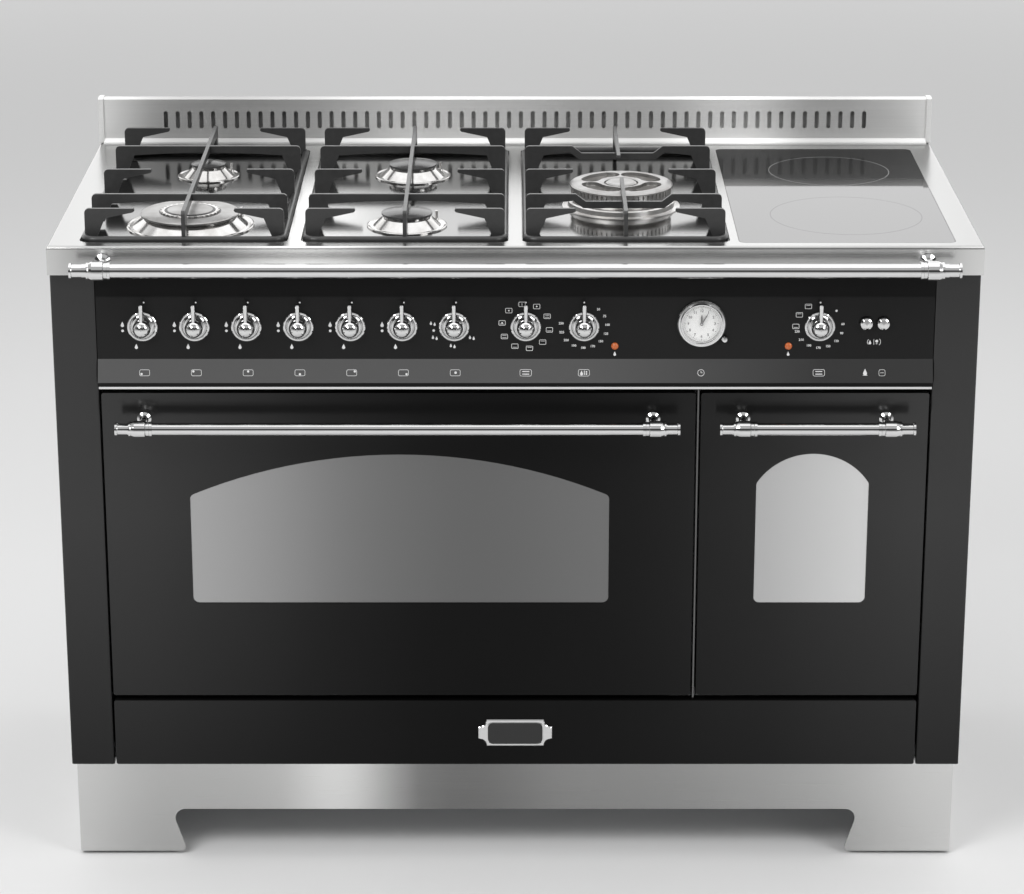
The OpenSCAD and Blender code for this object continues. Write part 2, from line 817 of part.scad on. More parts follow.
module control_panel() {
    color(black) difference() {
        translate([-side_in, 0, 0]) rotate([90, 0, 90]) linear_extrude(2 * side_in)
            panel_section();
        for (x = all_knob_x) on_panel(x, knob_z)
            translate([0, 0, -3 * sheet]) cylinder(r = bush_r, h = 4 * sheet);
        on_panel(across(clock_x), clock_z) translate([0, 0, -3 * sheet]) {
            cylinder(r = clock_hole_r, h = 4 * sheet);
            rotate(setter_angle) translate([setter_reach, 0, 0])
                cylinder(r = 2 + pin_clear, h = 4 * sheet);
        }
        for (i = [0, 1]) on_panel(across(button_x) + i * button_pitch, knob_z + 4.5)
            translate([0, 0, -3 * sheet]) cylinder(r = button_r + 0.4, h = 4 * sheet);
        for (x = [across(left_lamp_x), across(right_lamp_x)]) on_panel(x, lamp_z)
            translate([0, 0, -3 * sheet]) cylinder(r = lamp_r, h = 4 * sheet);
    }
}

module panel_trim() {
    color(chrome) translate([-side_in, face_y - 2, trim_z])
        cube([2 * side_in, 10, trim_h]);
}

module ceramic_glass() {
    color("#202224") translate([0, 0, hob_z - glass_t]) linear_extrude(glass_t) glass_outline(0);
}

// A burner's body: trim ring, cone and ported crown over a cup that hangs in the hob
module burner_body(r, crown_z, ports) {
    cup = r * cup_share - 0.5;
    crown = r * 0.94;
    cone = r + cone_out;
    trim = r + trim_out;
    difference() {
        rotate_extrude() polygon([
            [cup - cup_wall, -cup_deep], [cup, -cup_deep], [cup, 0], [trim, 0], [trim, 1.6],
            [trim - 1.5, 2.2], [trim - 4, 1.2], [cone + 1, 1.2], [cone, 2],
            [crown + 1, crown_z - 3.5], [crown, crown_z - 3], [crown, crown_z],
            [cup - cup_wall, crown_z]
        ]);
        for (i = [0 : ports - 1]) rotate(i * 360 / ports)
            translate([crown - 3, -0.6, crown_z - 2]) cube([8, 1.2, 3]);
    }
    rotate(35) translate([cone + 1 + spark_r, 0, 1]) {
        cylinder(r = spark_r, h = crown_z - 3);
        cylinder(r1 = spark_r + 1, r2 = spark_r, h = 3);
    }
}

// A small burner's cap: a smooth shallow dome with a locating rim under it
module domed_cap(r, z) {
    rim_z = z + cap_t - 0.7;
    rotate_extrude() polygon(concat(
        [[0, z], [r - 0.6, z], [r, z + 0.8]],
        [for (s = [1 : -0.125 : 0]) [r * s, rim_z + (cap_top - rim_z) * (1 - s * s)]]
    ));
    translate([0, 0, z - 3]) cylinder(r = r * cup_share - 4, h = 4);
}

// The large burner's cap: a disc with a ring groove, and a locating rim under it
module grooved_cap(r, z) {
    rotate_extrude() polygon([
        [0, z], [r - 0.6, z], [r, z + 0.8], [r, z + cap_t - 1.2], [r - 1.2, z + cap_t],
        [r * 0.66, z + cap_t + 0.9], [r * 0.62, z + cap_t + 0.4], [r * 0.56, z + cap_t + 0.5],
        [r * 0.52, cap_top - 0.6], [r * 0.46, cap_top], [0, cap_top]
    ]);
    translate([0, 0, z - 3]) cylinder(r = r * cup_share - 4, h = 4);
}

crown_z = cap_top - cap_t - 3;

module rapid_burner() {
    color("#a8a8a8") translate([rapid_place[0], rapid_place[1], tray_z])
        burner_body(rapid_r, crown_z, 40);
}

module rapid_cap() {
    color(enamel) translate([rapid_place[0], rapid_place[1], tray_z])
        grooved_cap(rapid_r, crown_z);
}

module auxiliary_burner() {
    color("#a8a8a8") translate([aux_place[0], aux_place[1], tray_z])
        burner_body(aux_r, crown_z, 16);
}

module auxiliary_cap() {
    color(enamel) translate([aux_place[0], aux_place[1], tray_z])
        domed_cap(aux_r, crown_z);
}

module semi_rapid_burners() {
    color("#a8a8a8") for (p = semi_places) translate([p[0], p[1], tray_z])
        burner_body(semi_r, crown_z, 22);
}

module semi_rapid_caps() {
    color(enamel) for (p = semi_places) translate([p[0], p[1], tray_z])
        domed_cap(semi_r, crown_z);
}

wok_ring_z = wok_top - cap_t - 2;
wok_middle_r = 19;

// The wok burner's body: a collar, a waist, a toothed crown and a hollow middle post
module wok_burner() {
    cup = wok_cup_r - 0.5;
    crown = wok_r - 1.5;
    ports = 60;
    color("#a8a8a8") translate([wok_place[0], wok_place[1], tray_z]) difference() {
        union() {
            rotate_extrude() polygon([
                [cup - cup_wall, -cup_deep], [cup, -cup_deep], [cup, 0], [wok_r + 10, 0], [wok_r + 10, 1.2],
                [wok_r + 3, 2.2], [wok_r + 2, 8], [wok_r, 9.5], [wok_r - 3, 9.5], [wok_r - 5, 8],
                [crown - 14, 7], [crown - 14, 12], [crown - 5, 15], [crown, 18],
                [crown, wok_ring_z], [crown - 6, wok_ring_z], [crown - 6, 20],
                [wok_middle_r + 3, 15], [wok_middle_r, wok_ring_z], [8, wok_ring_z], [8, 6],
                [cup - cup_wall, 4]
            ]);
            for (a = [0, 180]) rotate(a) translate([0, -3, 7]) cube([crown - 3, 6, wok_ring_z - 7]);
            rotate(35) translate([wok_r + 5, 0, 0.5]) cylinder(r = spark_r, h = wok_ring_z - 4);
        }
        for (i = [0 : ports - 1]) rotate(i * 360 / ports)
            translate([crown - 3.5, -1.2, wok_ring_z - 8]) cube([8, 2.4, 9]);
        translate([0, 0, -1]) cylinder(r = 7, h = wok_top);
    }
}

// A kidney-shaped outline between two radii: part of a flat ring, its ends carried on by round
// noses slightly narrower than the ring, so no two curves only touch
module kidney(low_r, high_r, sweep) {
    far = 2 * high_r;
    intersection() {
        difference() {
            circle(high_r);
            circle(low_r);
        }
        polygon([
            [0, 0], [far * cos(sweep / 2), -far * sin(sweep / 2)],
            [far * cos(sweep / 2), far * sin(sweep / 2)]
        ]);
    }
    for (e = [-1, 1]) rotate(e * sweep / 2) translate([(low_r + high_r) / 2, 0])
        circle((high_r - low_r) / 2 - 0.6);
}

// The wok burner's caps: a ring with four kidney-shaped openings and a middle disc
module wok_caps() {
    low_r = wok_middle_r + 11;
    high_r = wok_r - 13;
    sweep = 54;
    color(enamel) translate([wok_place[0], wok_place[1], tray_z + wok_ring_z]) {
        difference() {
            rotate_extrude() polygon([
                [wok_middle_r + 4, 0], [wok_r - 0.6, 0], [wok_r, 0.8], [wok_r, cap_t - 1.5],
                [wok_r - 2, cap_t], [wok_r - 10, cap_t + 1], [wok_middle_r + 8, cap_t + 1],
                [wok_middle_r + 4, cap_t]
            ]);
            translate([0, 0, -1]) linear_extrude(cap_t + 4) for (a = [45 : 90 : 315]) rotate(a)
                kidney(low_r, high_r, sweep);
        }
        rotate_extrude() polygon([
            [0, 0], [wok_middle_r, 0], [wok_middle_r + 1.5, 1.2], [wok_middle_r + 1.5, cap_t],
            [wok_middle_r - 1, cap_t + 1.5], [0, cap_t + 2]
        ]);
        translate([0, 0, -5]) cylinder(r = 6.5, h = 6);
    }
}

// The rod loop under a pan support, from its front left corner
module grate_frame() {
    w = across(grate_w);
    l = grate_l;
    r = grate_r;
    for (x = [0, w]) translate([x, r, 0]) rotate([-90, 0, 0]) cylinder(r = rod_r, h = l - 2 * r);
    for (y = [0, l]) translate([r, y, 0]) rotate([0, 90, 0]) cylinder(r = rod_r, h = w - 2 * r);
    for (c = [[r, r, 180], [w - r, r, 270], [w - r, l - r, 0], [r, l - r, 90]])
        translate([c[0], c[1], 0]) rotate(c[2]) rotate_extrude(angle = 90)
            translate([r, 0]) circle(rod_r);
}

// Outline of half a full-width blade, from the middle to its leg
module half_blade(reach, dip) {
    under = grate_up - blade_h;
    step = dip + 3;
    top = dip > 0 ? [[0, grate_up - dip], [dip_half, grate_up - dip], [dip_half + step, grate_up]]
        : [[0, grate_up]];
    low = dip > 0 ? [[dip_half + step + 3, under], [dip_half + 3, under - dip], [0, under - dip]]
        : [[reach * 0.4, under - 1], [0, under]];
    polygon(concat(top, [
        [reach - blade_r, grate_up], [reach, grate_up - blade_r], [reach, 0],
        [reach - leg_w, 0], [reach - leg_w - leg_lean, under - 4]
    ], low));
    translate([reach - blade_r, grate_up - blade_r]) circle(blade_r);
}

// Outline of a finger, from its leg at x = 0 to its tip
module finger(l) {
    polygon([
        [0, 0], [leg_w, 0], [leg_w + leg_lean, grate_up - blade_h - 4], [l - 2, grate_up - 5],
        [l, grate_up - 3], [l - 1, grate_up], [blade_r, grate_up], [0, grate_up - blade_r]
    ]);
    translate([blade_r, grate_up - blade_r]) circle(blade_r);
}

grate_z = tray_z + rod_r + 1.5;
grate_up = tray_z + grate_h - grate_z;
grate_front = lip_y + tray_front + (tray_l - grate_l) / 2;
// Places of the blades, from the frame's front rod
front_bar = lip_y + front_burner - grate_front;
rear_bar = lip_y + rear_burner - grate_front;
middle_fingers = (front_bar + rear_bar) / 2;
end_fingers = 18;

// A pan support; wok ones dip round the large burner and have short fingers
module pan_support(x, wok) {
    w = across(grate_w);
    l = grate_l;
    dip = wok ? wok_dip : 0;
    finger_l = (w - finger_gap) / 2;
    color(enamel) translate([x - w / 2, grate_front, grate_z]) {
        grate_frame();
        for (y = [front_bar, rear_bar]) translate([w / 2, y - blade_t / 2, 0])
            for (s = [0, 1]) mirror([s, 0, 0])
                translate([-0.01, blade_t, 0]) rotate([90, 0, 0]) linear_extrude(blade_t)
                    half_blade(w / 2, dip);
        for (y = [end_fingers, middle_fingers, l - end_fingers])
            translate([w / 2, y - blade_t / 2, 0]) for (s = [0, 1]) mirror([s, 0, 0])
                translate([-w / 2, blade_t, 0]) rotate([90, 0, 0]) linear_extrude(blade_t)
                    finger(finger_l);
        if (wok) {
            for (s = [0, 1]) translate([w / 2 - blade_t / 2, l / 2, 0]) mirror([0, s, 0])
                translate([0, -l / 2, 0]) rotate([90, 0, 90]) linear_extrude(blade_t)
                    finger((l - wok_finger_gap) / 2);
        } else {
            translate([w / 2 - blade_t / 2, l / 2, 0]) for (s = [0, 1]) mirror([0, s, 0])
                translate([0, -0.01, 0]) rotate([90, 0, 90]) linear_extrude(blade_t)
                    half_blade(l / 2, 0);
        }
        for (p = [[0, grate_r], [w, grate_r], [0, l - grate_r], [w, l - grate_r]])
            translate([p[0], p[1], tray_z - grate_z]) cylinder(r = 4, h = 5);
    }
}

module left_pan_support() {
    pan_support(bays[0], false);
}

module middle_pan_support() {
    pan_support(bays[1], false);
}

module wok_pan_support() {
    pan_support(bays[2], true);
}

// Distances of the beads' and racks' ends from the ovens' mouths and rear walls
bead_in = 9.5;
bead_end = 14.5;
bead_off = rack_r + bead_r + 0.3;
rack_in = 13.5;
rack_end = 20.5;

// An oven: a folded box with a flange round its mouth and beads for the racks
module oven_cavity(mid, w, x0, x1) {
    t = oven_sheet;
    mouth_z0 = door_z - row_gap / 2;
    color("#4c4c50") {
        difference() {
            union() {
                upright(oven_y, oven_d)
                    rounded(mid - w / 2 - t, oven_z - t, w + 2 * t, oven_h + 2 * t, oven_r + t);
                translate([x0, oven_y, mouth_z0]) cube([x1 - x0, t, door_h + row_gap]);
            }
            upright(oven_y - t, oven_d)
                rounded(mid - w / 2, oven_z, w, oven_h, oven_r);
        }
        for (i = [0 : 3], s = [-1, 1], d = [-1, 1]) intersection() {
            translate([mid + s * (w / 2 + 0.5), oven_y + bead_in, rack_level(i) + d * bead_off])
                rotate([-90, 0, 0]) cylinder(r = bead_r, h = oven_d - bead_in - bead_end);
            translate([mid - w / 2 - t / 2, oven_y, oven_z]) cube([w + t, oven_d, oven_h]);
        }
    }
}

function rack_level(i) = oven_z + 70 + i * rack_pitch;

module main_oven_cavity() {
    oven_cavity(main_mid, across(main_oven_w), -side_in, divider_x - sheet / 2);
}

module small_oven_cavity() {
    oven_cavity(small_mid, across(small_oven_w), divider_x + sheet / 2, side_in);
}

// A wire rack that lies between two beads on each side
module rack(mid, w, z) {
    y0 = oven_y + rack_in;
    l = oven_d - rack_in - rack_end;
    half = w / 2 - rack_r - 0.6;
    n = floor((2 * half - 10) / wire_pitch);
    translate([mid, y0, z]) {
        for (s = [-1, 1]) translate([s * half, 0, 0]) rotate([-90, 0, 0]) cylinder(r = rack_r, h = l);
        for (y = [0, l / 2, l]) translate([-half, y, 0]) rotate([0, 90, 0])
            cylinder(r = rack_r, h = 2 * half);
        for (sx = [-1, 1], y = [0, l]) translate([sx * half, y, 0]) sphere(rack_r);
        for (i = [0 : n - 1]) translate([(i - (n - 1) / 2) * wire_pitch, 0, rack_r - 0.4])
            rotate([-90, 0, 0]) cylinder(r = wire_r, h = l);
    }
}

module oven_racks() {
    color(chrome) {
        rack(main_mid, across(main_oven_w), rack_level(1));
        rack(small_mid, across(small_oven_w), rack_level(1));
    }
}

hinge_half = hinge_plate_t / 2 + cheek_clear;
hinge_eye = hinge_pin_r + 2;
hinge_leaf_h = 42;
hinge_x = [
    main_x0 + hinge_side, main_x1 - hinge_side,
    small_x0 + hinge_side, small_x1 - hinge_side
];

// Fixed hinge plates: each stands on an oven's flange and holds a door's pin
module door_hinges() {
    reach = oven_y - hinge_y;
    color("#909090") for (x = hinge_x) translate([x, hinge_y, hinge_z]) {
        translate([-hinge_plate_t / 2, 0, 0]) rotate([90, 0, 90]) linear_extrude(hinge_plate_t) {
            circle(hinge_eye);
            translate([0, -hinge_eye]) square([reach, 2 * hinge_eye]);
            translate([reach - 3, -hinge_eye]) square([3, hinge_leaf_h]);
        }
        rotate([0, 90, 0]) cylinder(r = hinge_pin_r, h = 2 * (hinge_half + hinge_cheek_t), center = true);
    }
}

// Space that a hinge plate needs in a door, from a door's back to its lower edge
module hinge_notch(x) {
    r = hinge_eye + 1;
    translate([x - hinge_half, hinge_y - r, door_z - eps])
        cube([2 * hinge_half, door_t + eps, hinge_up + r + eps]);
}

// A door's steel skin: a folded tray with the arched window cut in its front
module door_skin(x0, w, window_w, window_side, window_rise, x_hinges) {
    color(black) difference() {
        upright(face_y, door_t) rounded(x0, door_z, w, door_h, door_r);
        upright(face_y + sheet, door_t)
            rounded(x0 + sheet, door_z + sheet, w - 2 * sheet, door_h - 2 * sheet, door_r - 1);
        upright(face_y - eps, sheet + 2 * eps)
            arched(x0 + w / 2, window_z, window_w, window_side, window_rise, window_r);
        for (x = x_hinges) hinge_notch(x);
    }
}

// A door's inner panel: it closes the tray, frames the inner pane and holds the hinges
module door_liner(x0, w, window_w, window_h, x_hinges) {
    t = sheet;
    color("#5a5a5e") difference() {
        union() {
            difference() {
                upright(door_back_y - t, t)
                    rounded(x0 + t, door_z + t, w - 2 * t, door_h - 2 * t, door_r - 1);
                upright(door_back_y - 2 * t, 4 * t)
                    rounded(x0 + (w - window_w) / 2, window_z, window_w, window_h, window_r * 2);
            }
            for (x = x_hinges, s = [-1, 1]) {
                cheek_x = s > 0 ? x + hinge_half : x - hinge_half - hinge_cheek_t;
                translate([cheek_x, hinge_y - hinge_eye, hinge_z - hinge_eye])
                    cube([hinge_cheek_t, door_back_y - hinge_y + hinge_eye, 2 * hinge_eye]);
            }
        }
        for (x = x_hinges) {
            hinge_notch(x);
            translate([x, hinge_y, hinge_z]) rotate([0, 90, 0])
                cylinder(r = hinge_pin_r + pin_clear, h = 4 * (hinge_half + hinge_cheek_t), center = true);
        }
    }
}

// A door's two panes: one behind the skin, one in front of the liner
module door_panes(mid, window_w, window_h) {
    z = window_z - pane_over;
    w = window_w + 2 * pane_over;
    h = window_h + 2 * pane_over;
    color("#7c8084") for (y = [face_y + sheet, door_back_y - sheet - pane_t])
        upright(y, pane_t) rounded(mid - w / 2, z, w, h, 4);
}

main_window_h = main_window_side + main_window_rise;
small_window_h = small_window_side + small_window_rise;

module main_door_skin() {
    door_skin(main_x0, main_door_w, across(main_window_w), main_window_side, main_window_rise,
        [hinge_x[0], hinge_x[1]]);
}

module main_door_liner() {
    door_liner(main_x0, main_door_w, across(main_window_w), main_window_h, [hinge_x[0], hinge_x[1]]);
}

module main_door_panes() {
    door_panes(main_mid, across(main_window_w), main_window_h);
}

module main_door_handle() {
    color(chrome) door_handle(main_x0 + main_handle_in, main_x1 - main_handle_in);
}

module small_door_skin() {
    door_skin(small_x0, across(small_door_w), across(small_window_w), small_window_side,
        small_window_rise, [hinge_x[2], hinge_x[3]]);
}

module small_door_liner() {
    door_liner(small_x0, across(small_door_w), across(small_window_w), small_window_h,
        [hinge_x[2], hinge_x[3]]);
}

module small_door_panes() {
    door_panes(small_mid, across(small_window_w), small_window_h);
}

module small_door_handle() {
    color(chrome) door_handle(small_x0 + small_handle_in, small_x1 - small_handle_in);
}

tray_half = side_in - runner_w - 3;
drawer_y = face_y + drawer_front_t;
runner_z = base_z + sheet;
runner_t = 1.5;

// A folded steel front over the drawer's whole width
module drawer_front() {
    x = side_in - door_side_gap;
    color(black) difference() {
        upright(face_y, drawer_front_t) rounded(-x, base_z, 2 * x, drawer_h, door_r);
        upright(face_y + sheet, drawer_front_t - sheet - tray_sheet)
            rounded(sheet - x, base_z + sheet, 2 * (x - sheet), drawer_h - 2 * sheet, 1);
    }
}

// The drawer's open tray, with a slide along each side
module drawer_tray() {
    t = tray_sheet;
    z = runner_z + 4;
    slide_h = runner_h - 2 * runner_t - 2 * slide_clear;
    slide_w = runner_w - runner_t - slide_clear;
    color("#77777a") {
        difference() {
            translate([-tray_half, drawer_y, z]) cube([2 * tray_half, drawer_d, tray_side_h]);
            translate([t - tray_half, drawer_y + t, z + t])
                cube([2 * (tray_half - t), drawer_d - 2 * t, tray_side_h]);
        }
        for (s = [0, 1]) mirror([s, 0, 0])
            translate([tray_half - 0.01, drawer_y + 4, runner_z + runner_t + slide_clear])
                cube([side_in - 3 - runner_t - slide_clear - tray_half + 3, drawer_d - 8, slide_h]);
    }
}

// Fixed runners, open towards the drawer
module drawer_runners() {
    color("#a0a0a0") for (s = [0, 1]) mirror([s, 0, 0])
        translate([side_in - runner_w, drawer_y + 4, runner_z]) difference() {
            cube([runner_w, drawer_d - 4, runner_h]);
            translate([-1, -1, runner_t])
                cube([runner_w - runner_t + 1, drawer_d, runner_h - 2 * runner_t]);
        }
}

// Gas valves on their pipe, which runs back to the inlet, and the knobs' switches
module valves_and_switches() {
    bore = shaft_r + pin_clear;
    bend = inlet_x;
    color("#b09050") difference() {
        union() {
            for (i = [0 : gas_knob_n - 1])
                translate([burner_knob_x[i] - valve_w / 2, valve_y, knob_z - valve_w / 2])
                    cube([valve_w, valve_d, valve_w]);
            translate([burner_knob_x[0] - valve_w, pipe_y, pipe_z]) rotate([0, 90, 0])
                cylinder(r = pipe_r, h = bend - burner_knob_x[0] + valve_w);
            translate([bend, pipe_y, pipe_z]) sphere(pipe_r);
            translate([bend, pipe_y, pipe_z]) rotate([-90, 0, 0])
                cylinder(r = pipe_r, h = back_panel_y - 60 - pipe_y);
            translate([bend, back_panel_y - 60, pipe_z]) sphere(pipe_r);
            translate([bend, back_panel_y - 60, pipe_z])
                cylinder(r = pipe_r, h = inlet_z - pipe_z);
            translate([bend, back_panel_y - 60, inlet_z]) sphere(pipe_r);
            translate([bend, back_panel_y - 60, inlet_z]) rotate([-90, 0, 0])
                cylinder(r = pipe_r, h = 60 + back_inset - inlet_l - 2);
            translate([bend, back_y - inlet_l - 4, inlet_z]) rotate([-90, 0, 0])
                cylinder(r = inlet_r, h = inlet_l);
        }
        for (i = [0 : gas_knob_n - 1]) translate([burner_knob_x[i], valve_y - 1, knob_z])
            rotate([-90, 0, 0]) cylinder(r = bore, h = 20);
    }
    color("#d8d4c8") for (x = concat([burner_knob_x[knob_n - 1]], dial_knob_x))
        difference() {
            translate([x - switch_w / 2, face_y + sheet, knob_z - switch_w / 2])
                cube([switch_w, valve_d, switch_w]);
            translate([x, face_y, knob_z]) rotate([-90, 0, 0]) cylinder(r = bush_r + 0.5, h = 11);
            translate([x, face_y, knob_z]) rotate([-90, 0, 0]) cylinder(r = bore, h = 26);
        }
}

// Bezels: a raised rim round a dish, on a bush that goes through the panel
module knob_bezels() {
    color(chrome) for (x = all_knob_x) on_panel(x, knob_z) rotate_extrude() polygon([
        [shaft_r + pin_clear, -9], [bush_r, -9], [bush_r, 0], [bezel_r, 0], [bezel_r, bezel_h * 0.5],
        [bezel_r - 0.5, bezel_h * 0.8], [bezel_r - 1.5, bezel_h], [bezel_r - 2.7, bezel_h],
        [bezel_r - 3.8, bezel_h * 0.8], [bezel_r - 4.4, bezel_h * 0.5],
        [hub_r + 1.5, 1.2], [shaft_r + pin_clear, 1.2]
    ]);
}

// A turned knob: a hub with a ball-like nose, a tapered lever and a shaft, pointing up at rest
module knob(x) {
    lever_z = knob_out * 0.7;
    nose_z = knob_out * 0.52;
    color(chrome) on_panel(x, knob_z) {
        rotate_extrude() polygon(concat(
            [[0, -20], [shaft_r, -20], [shaft_r, 1.6], [hub_r - 0.6, 1.6], [hub_r, 2.4]],
            [for (a = [0 : 11.25 : 90]) [hub_r * cos(a), nose_z + (knob_out - nose_z) * sin(a)]]
        ));
        translate([0, 0, lever_z]) rotate([-90, 0, 0]) {
            cylinder(r1 = lever_r * 0.62, r2 = lever_r, h = lever_l - 1);
            translate([0, 0, lever_l - 1]) cylinder(r1 = lever_r, r2 = lever_r - 0.8, h = 1);
        }
    }
}

module gas_knob_1() {
    knob(burner_knob_x[0]);
}

module gas_knob_2() {
    knob(burner_knob_x[1]);
}

module gas_knob_3() {
    knob(burner_knob_x[2]);
}

module gas_knob_4() {
    knob(burner_knob_x[3]);
}

module gas_knob_5() {
    knob(burner_knob_x[4]);
}

module gas_knob_6() {
    knob(burner_knob_x[5]);
}

module glass_zone_knob() {
    knob(burner_knob_x[6]);
}

module oven_function_knob() {
    knob(across(function_x));
}

module oven_heat_knob() {
    knob(across(heat_x));
}

module small_oven_knob() {
    knob(across(small_knob_x));
}

// A push button: a domed plunger with a flange behind the panel
module push_button(i) {
    out = button_travel + 4;
    color(chrome) on_panel(across(button_x) + i * button_pitch, knob_z + 4.5) rotate_extrude() polygon([
        [0, -10], [button_r, -10], [button_r, out - 2.5], [button_r - 1, out - 0.8],
        [button_r - 3.2, out + 0.4], [0, out + 1]
    ]);
}

module left_button() {
    push_button(0);
}

module right_button() {
    push_button(1);
}

module indicator_lamps() {
    color("#e06820") for (x = [across(left_lamp_x), across(right_lamp_x)])
        on_panel(x, lamp_z) rotate_extrude() polygon([
            [0, -14], [lamp_r, -14], [lamp_r, 1], [lamp_r * 0.85, 2.1], [lamp_r * 0.5, 3], [0, 3.3]
        ]);
}

// The clock's case: a stepped bezel and the dial's floor, on a cup behind the panel
module clock_case() {
    color(chrome) on_panel(across(clock_x), clock_z) rotate_extrude() polygon([
        [0, -22], [clock_hole_r, -22], [clock_hole_r, 0], [clock_r, 0], [clock_r, clock_h * 0.4],
        [clock_r - 1.5, clock_h * 0.62], [clock_r - 3.5, clock_h * 0.66], [clock_r - 4.5, clock_h],
        [clock_r - 6, clock_h], [dial_r + 0.5, clock_h - 1.5], [dial_r + 0.5, 1.5], [0.9, 1.5],
        [0.9, minute_out + hand_t + 0.3], [0, minute_out + hand_t + 0.3]
    ]);
}

module clock_glass() {
    rim = clock_h - 2.4;
    color("#e8ecee") on_panel(across(clock_x), clock_z) rotate_extrude() polygon([
        [0, rim + 0.6], [dial_r - 4, rim], [dial_r + 0.5, rim - 1.2], [dial_r + 0.5, rim + 0.2],
        [dial_r - 4, rim + 1.4], [0, rim + 2]
    ]);
}

// A clock hand with a ring round the clock's middle post
module hand(out, l, w, a) {
    color("#202020") on_panel(across(clock_x), clock_z) translate([0, 0, out]) rotate(-a)
        linear_extrude(hand_t) difference() {
            union() {
                circle(2.2);
                polygon([[-w / 2, 0], [w / 2, 0], [w / 2, l * 0.7], [0, l], [-w / 2, l * 0.7]]);
            }
            circle(1.0);
        }
}

module clock_hour_hand() {
    hand(hour_out, hour_l, 2.2, 0);
}

module clock_minute_hand() {
    hand(minute_out, minute_l, 1.6, minute_angle);
}

module clock_setting_knob() {
    color(chrome) on_panel(across(clock_x), clock_z) rotate(setter_angle) translate([setter_reach, 0, 0])
        rotate_extrude() polygon([
            [0, -12], [2, -12], [2, 0.4], [setter_r - 0.6, 0.4], [setter_r, 1.2], [setter_r, 6],
            [setter_r - 1, 7.5], [0, 8]
        ]);
}

left_side_panel();
right_side_panel();
back_panel();
base_pan();
centre_divider();
plinth_skirt();
levelling_feet();
hob_top();
splashback();
front_rail();
rail_brackets();
control_panel();
panel_trim();
ceramic_glass();
rapid_burner();
rapid_cap();
auxiliary_burner();
auxiliary_cap();
semi_rapid_burners();
semi_rapid_caps();
wok_burner();
wok_caps();
left_pan_support();
middle_pan_support();
wok_pan_support();
main_oven_cavity();
small_oven_cavity();
oven_racks();
door_hinges();
drawer_runners();
valves_and_switches();
clock_case();
clock_glass();
indicator_lamps();
knob_bezels();
gas_knob_1();
gas_knob_2();
gas_knob_3();
gas_knob_4();
gas_knob_5();
gas_knob_6();
glass_zone_knob();
oven_function_knob();
oven_heat_knob();
small_oven_knob();
left_button();
right_button();
clock_hour_hand();
clock_minute_hand();
clock_setting_knob();
main_door_skin();
main_door_liner();
main_door_panes();
main_door_handle();
small_door_skin();
small_door_liner();
small_door_panes();
small_door_handle();
drawer_front();
drawer_tray();
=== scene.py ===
import json
import math

import bmesh
import bpy
import numpy as np
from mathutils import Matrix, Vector


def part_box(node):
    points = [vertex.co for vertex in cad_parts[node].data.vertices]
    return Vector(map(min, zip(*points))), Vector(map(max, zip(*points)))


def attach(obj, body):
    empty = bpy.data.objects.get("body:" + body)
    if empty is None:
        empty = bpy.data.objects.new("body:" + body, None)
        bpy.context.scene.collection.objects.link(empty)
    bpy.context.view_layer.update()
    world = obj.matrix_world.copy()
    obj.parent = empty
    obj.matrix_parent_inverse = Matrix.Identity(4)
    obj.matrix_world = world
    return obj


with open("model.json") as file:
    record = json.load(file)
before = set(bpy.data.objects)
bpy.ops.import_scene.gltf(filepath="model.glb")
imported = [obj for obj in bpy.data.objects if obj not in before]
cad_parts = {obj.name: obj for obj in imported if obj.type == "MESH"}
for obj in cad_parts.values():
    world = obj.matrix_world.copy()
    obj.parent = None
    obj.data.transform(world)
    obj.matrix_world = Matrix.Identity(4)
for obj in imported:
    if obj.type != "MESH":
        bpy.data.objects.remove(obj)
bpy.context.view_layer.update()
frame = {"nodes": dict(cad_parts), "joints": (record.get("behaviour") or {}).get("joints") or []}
print("frame loaded:", len(frame["nodes"]), "nodes")

mm = 0.001
jointAt = {j["name"]: j.get("pos_m") for j in frame["joints"]}
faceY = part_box("drawer_front")[0].y
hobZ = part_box("ceramic_glass")[1].z


def middle(node):
    # the middle of a CAD node's box, as x, y, z
    return [(a + b) / 2 for a, b in zip(*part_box(node))]


# materials

class Field:
    # a shader socket that is used like a number: every operator makes one Math node
    def __init__(self, paint, socket):
        self.paint, self.socket = paint, socket

    def __add__(self, other):
        return self.paint.maths("ADD", self, other)

    def __sub__(self, other):
        return self.paint.maths("SUBTRACT", self, other)

    def __rsub__(self, other):
        return self.paint.maths("SUBTRACT", other, self)

    def __mul__(self, other):
        return self.paint.maths("MULTIPLY", self, other)

    def __truediv__(self, other):
        return self.paint.maths("DIVIDE", self, other)

    def __pow__(self, other):
        return self.paint.maths("POWER", self, other)

    def __lt__(self, other):
        return self.paint.maths("LESS_THAN", self, other)

    def __gt__(self, other):
        return self.paint.maths("GREATER_THAN", self, other)

    __radd__, __rmul__ = __add__, __mul__


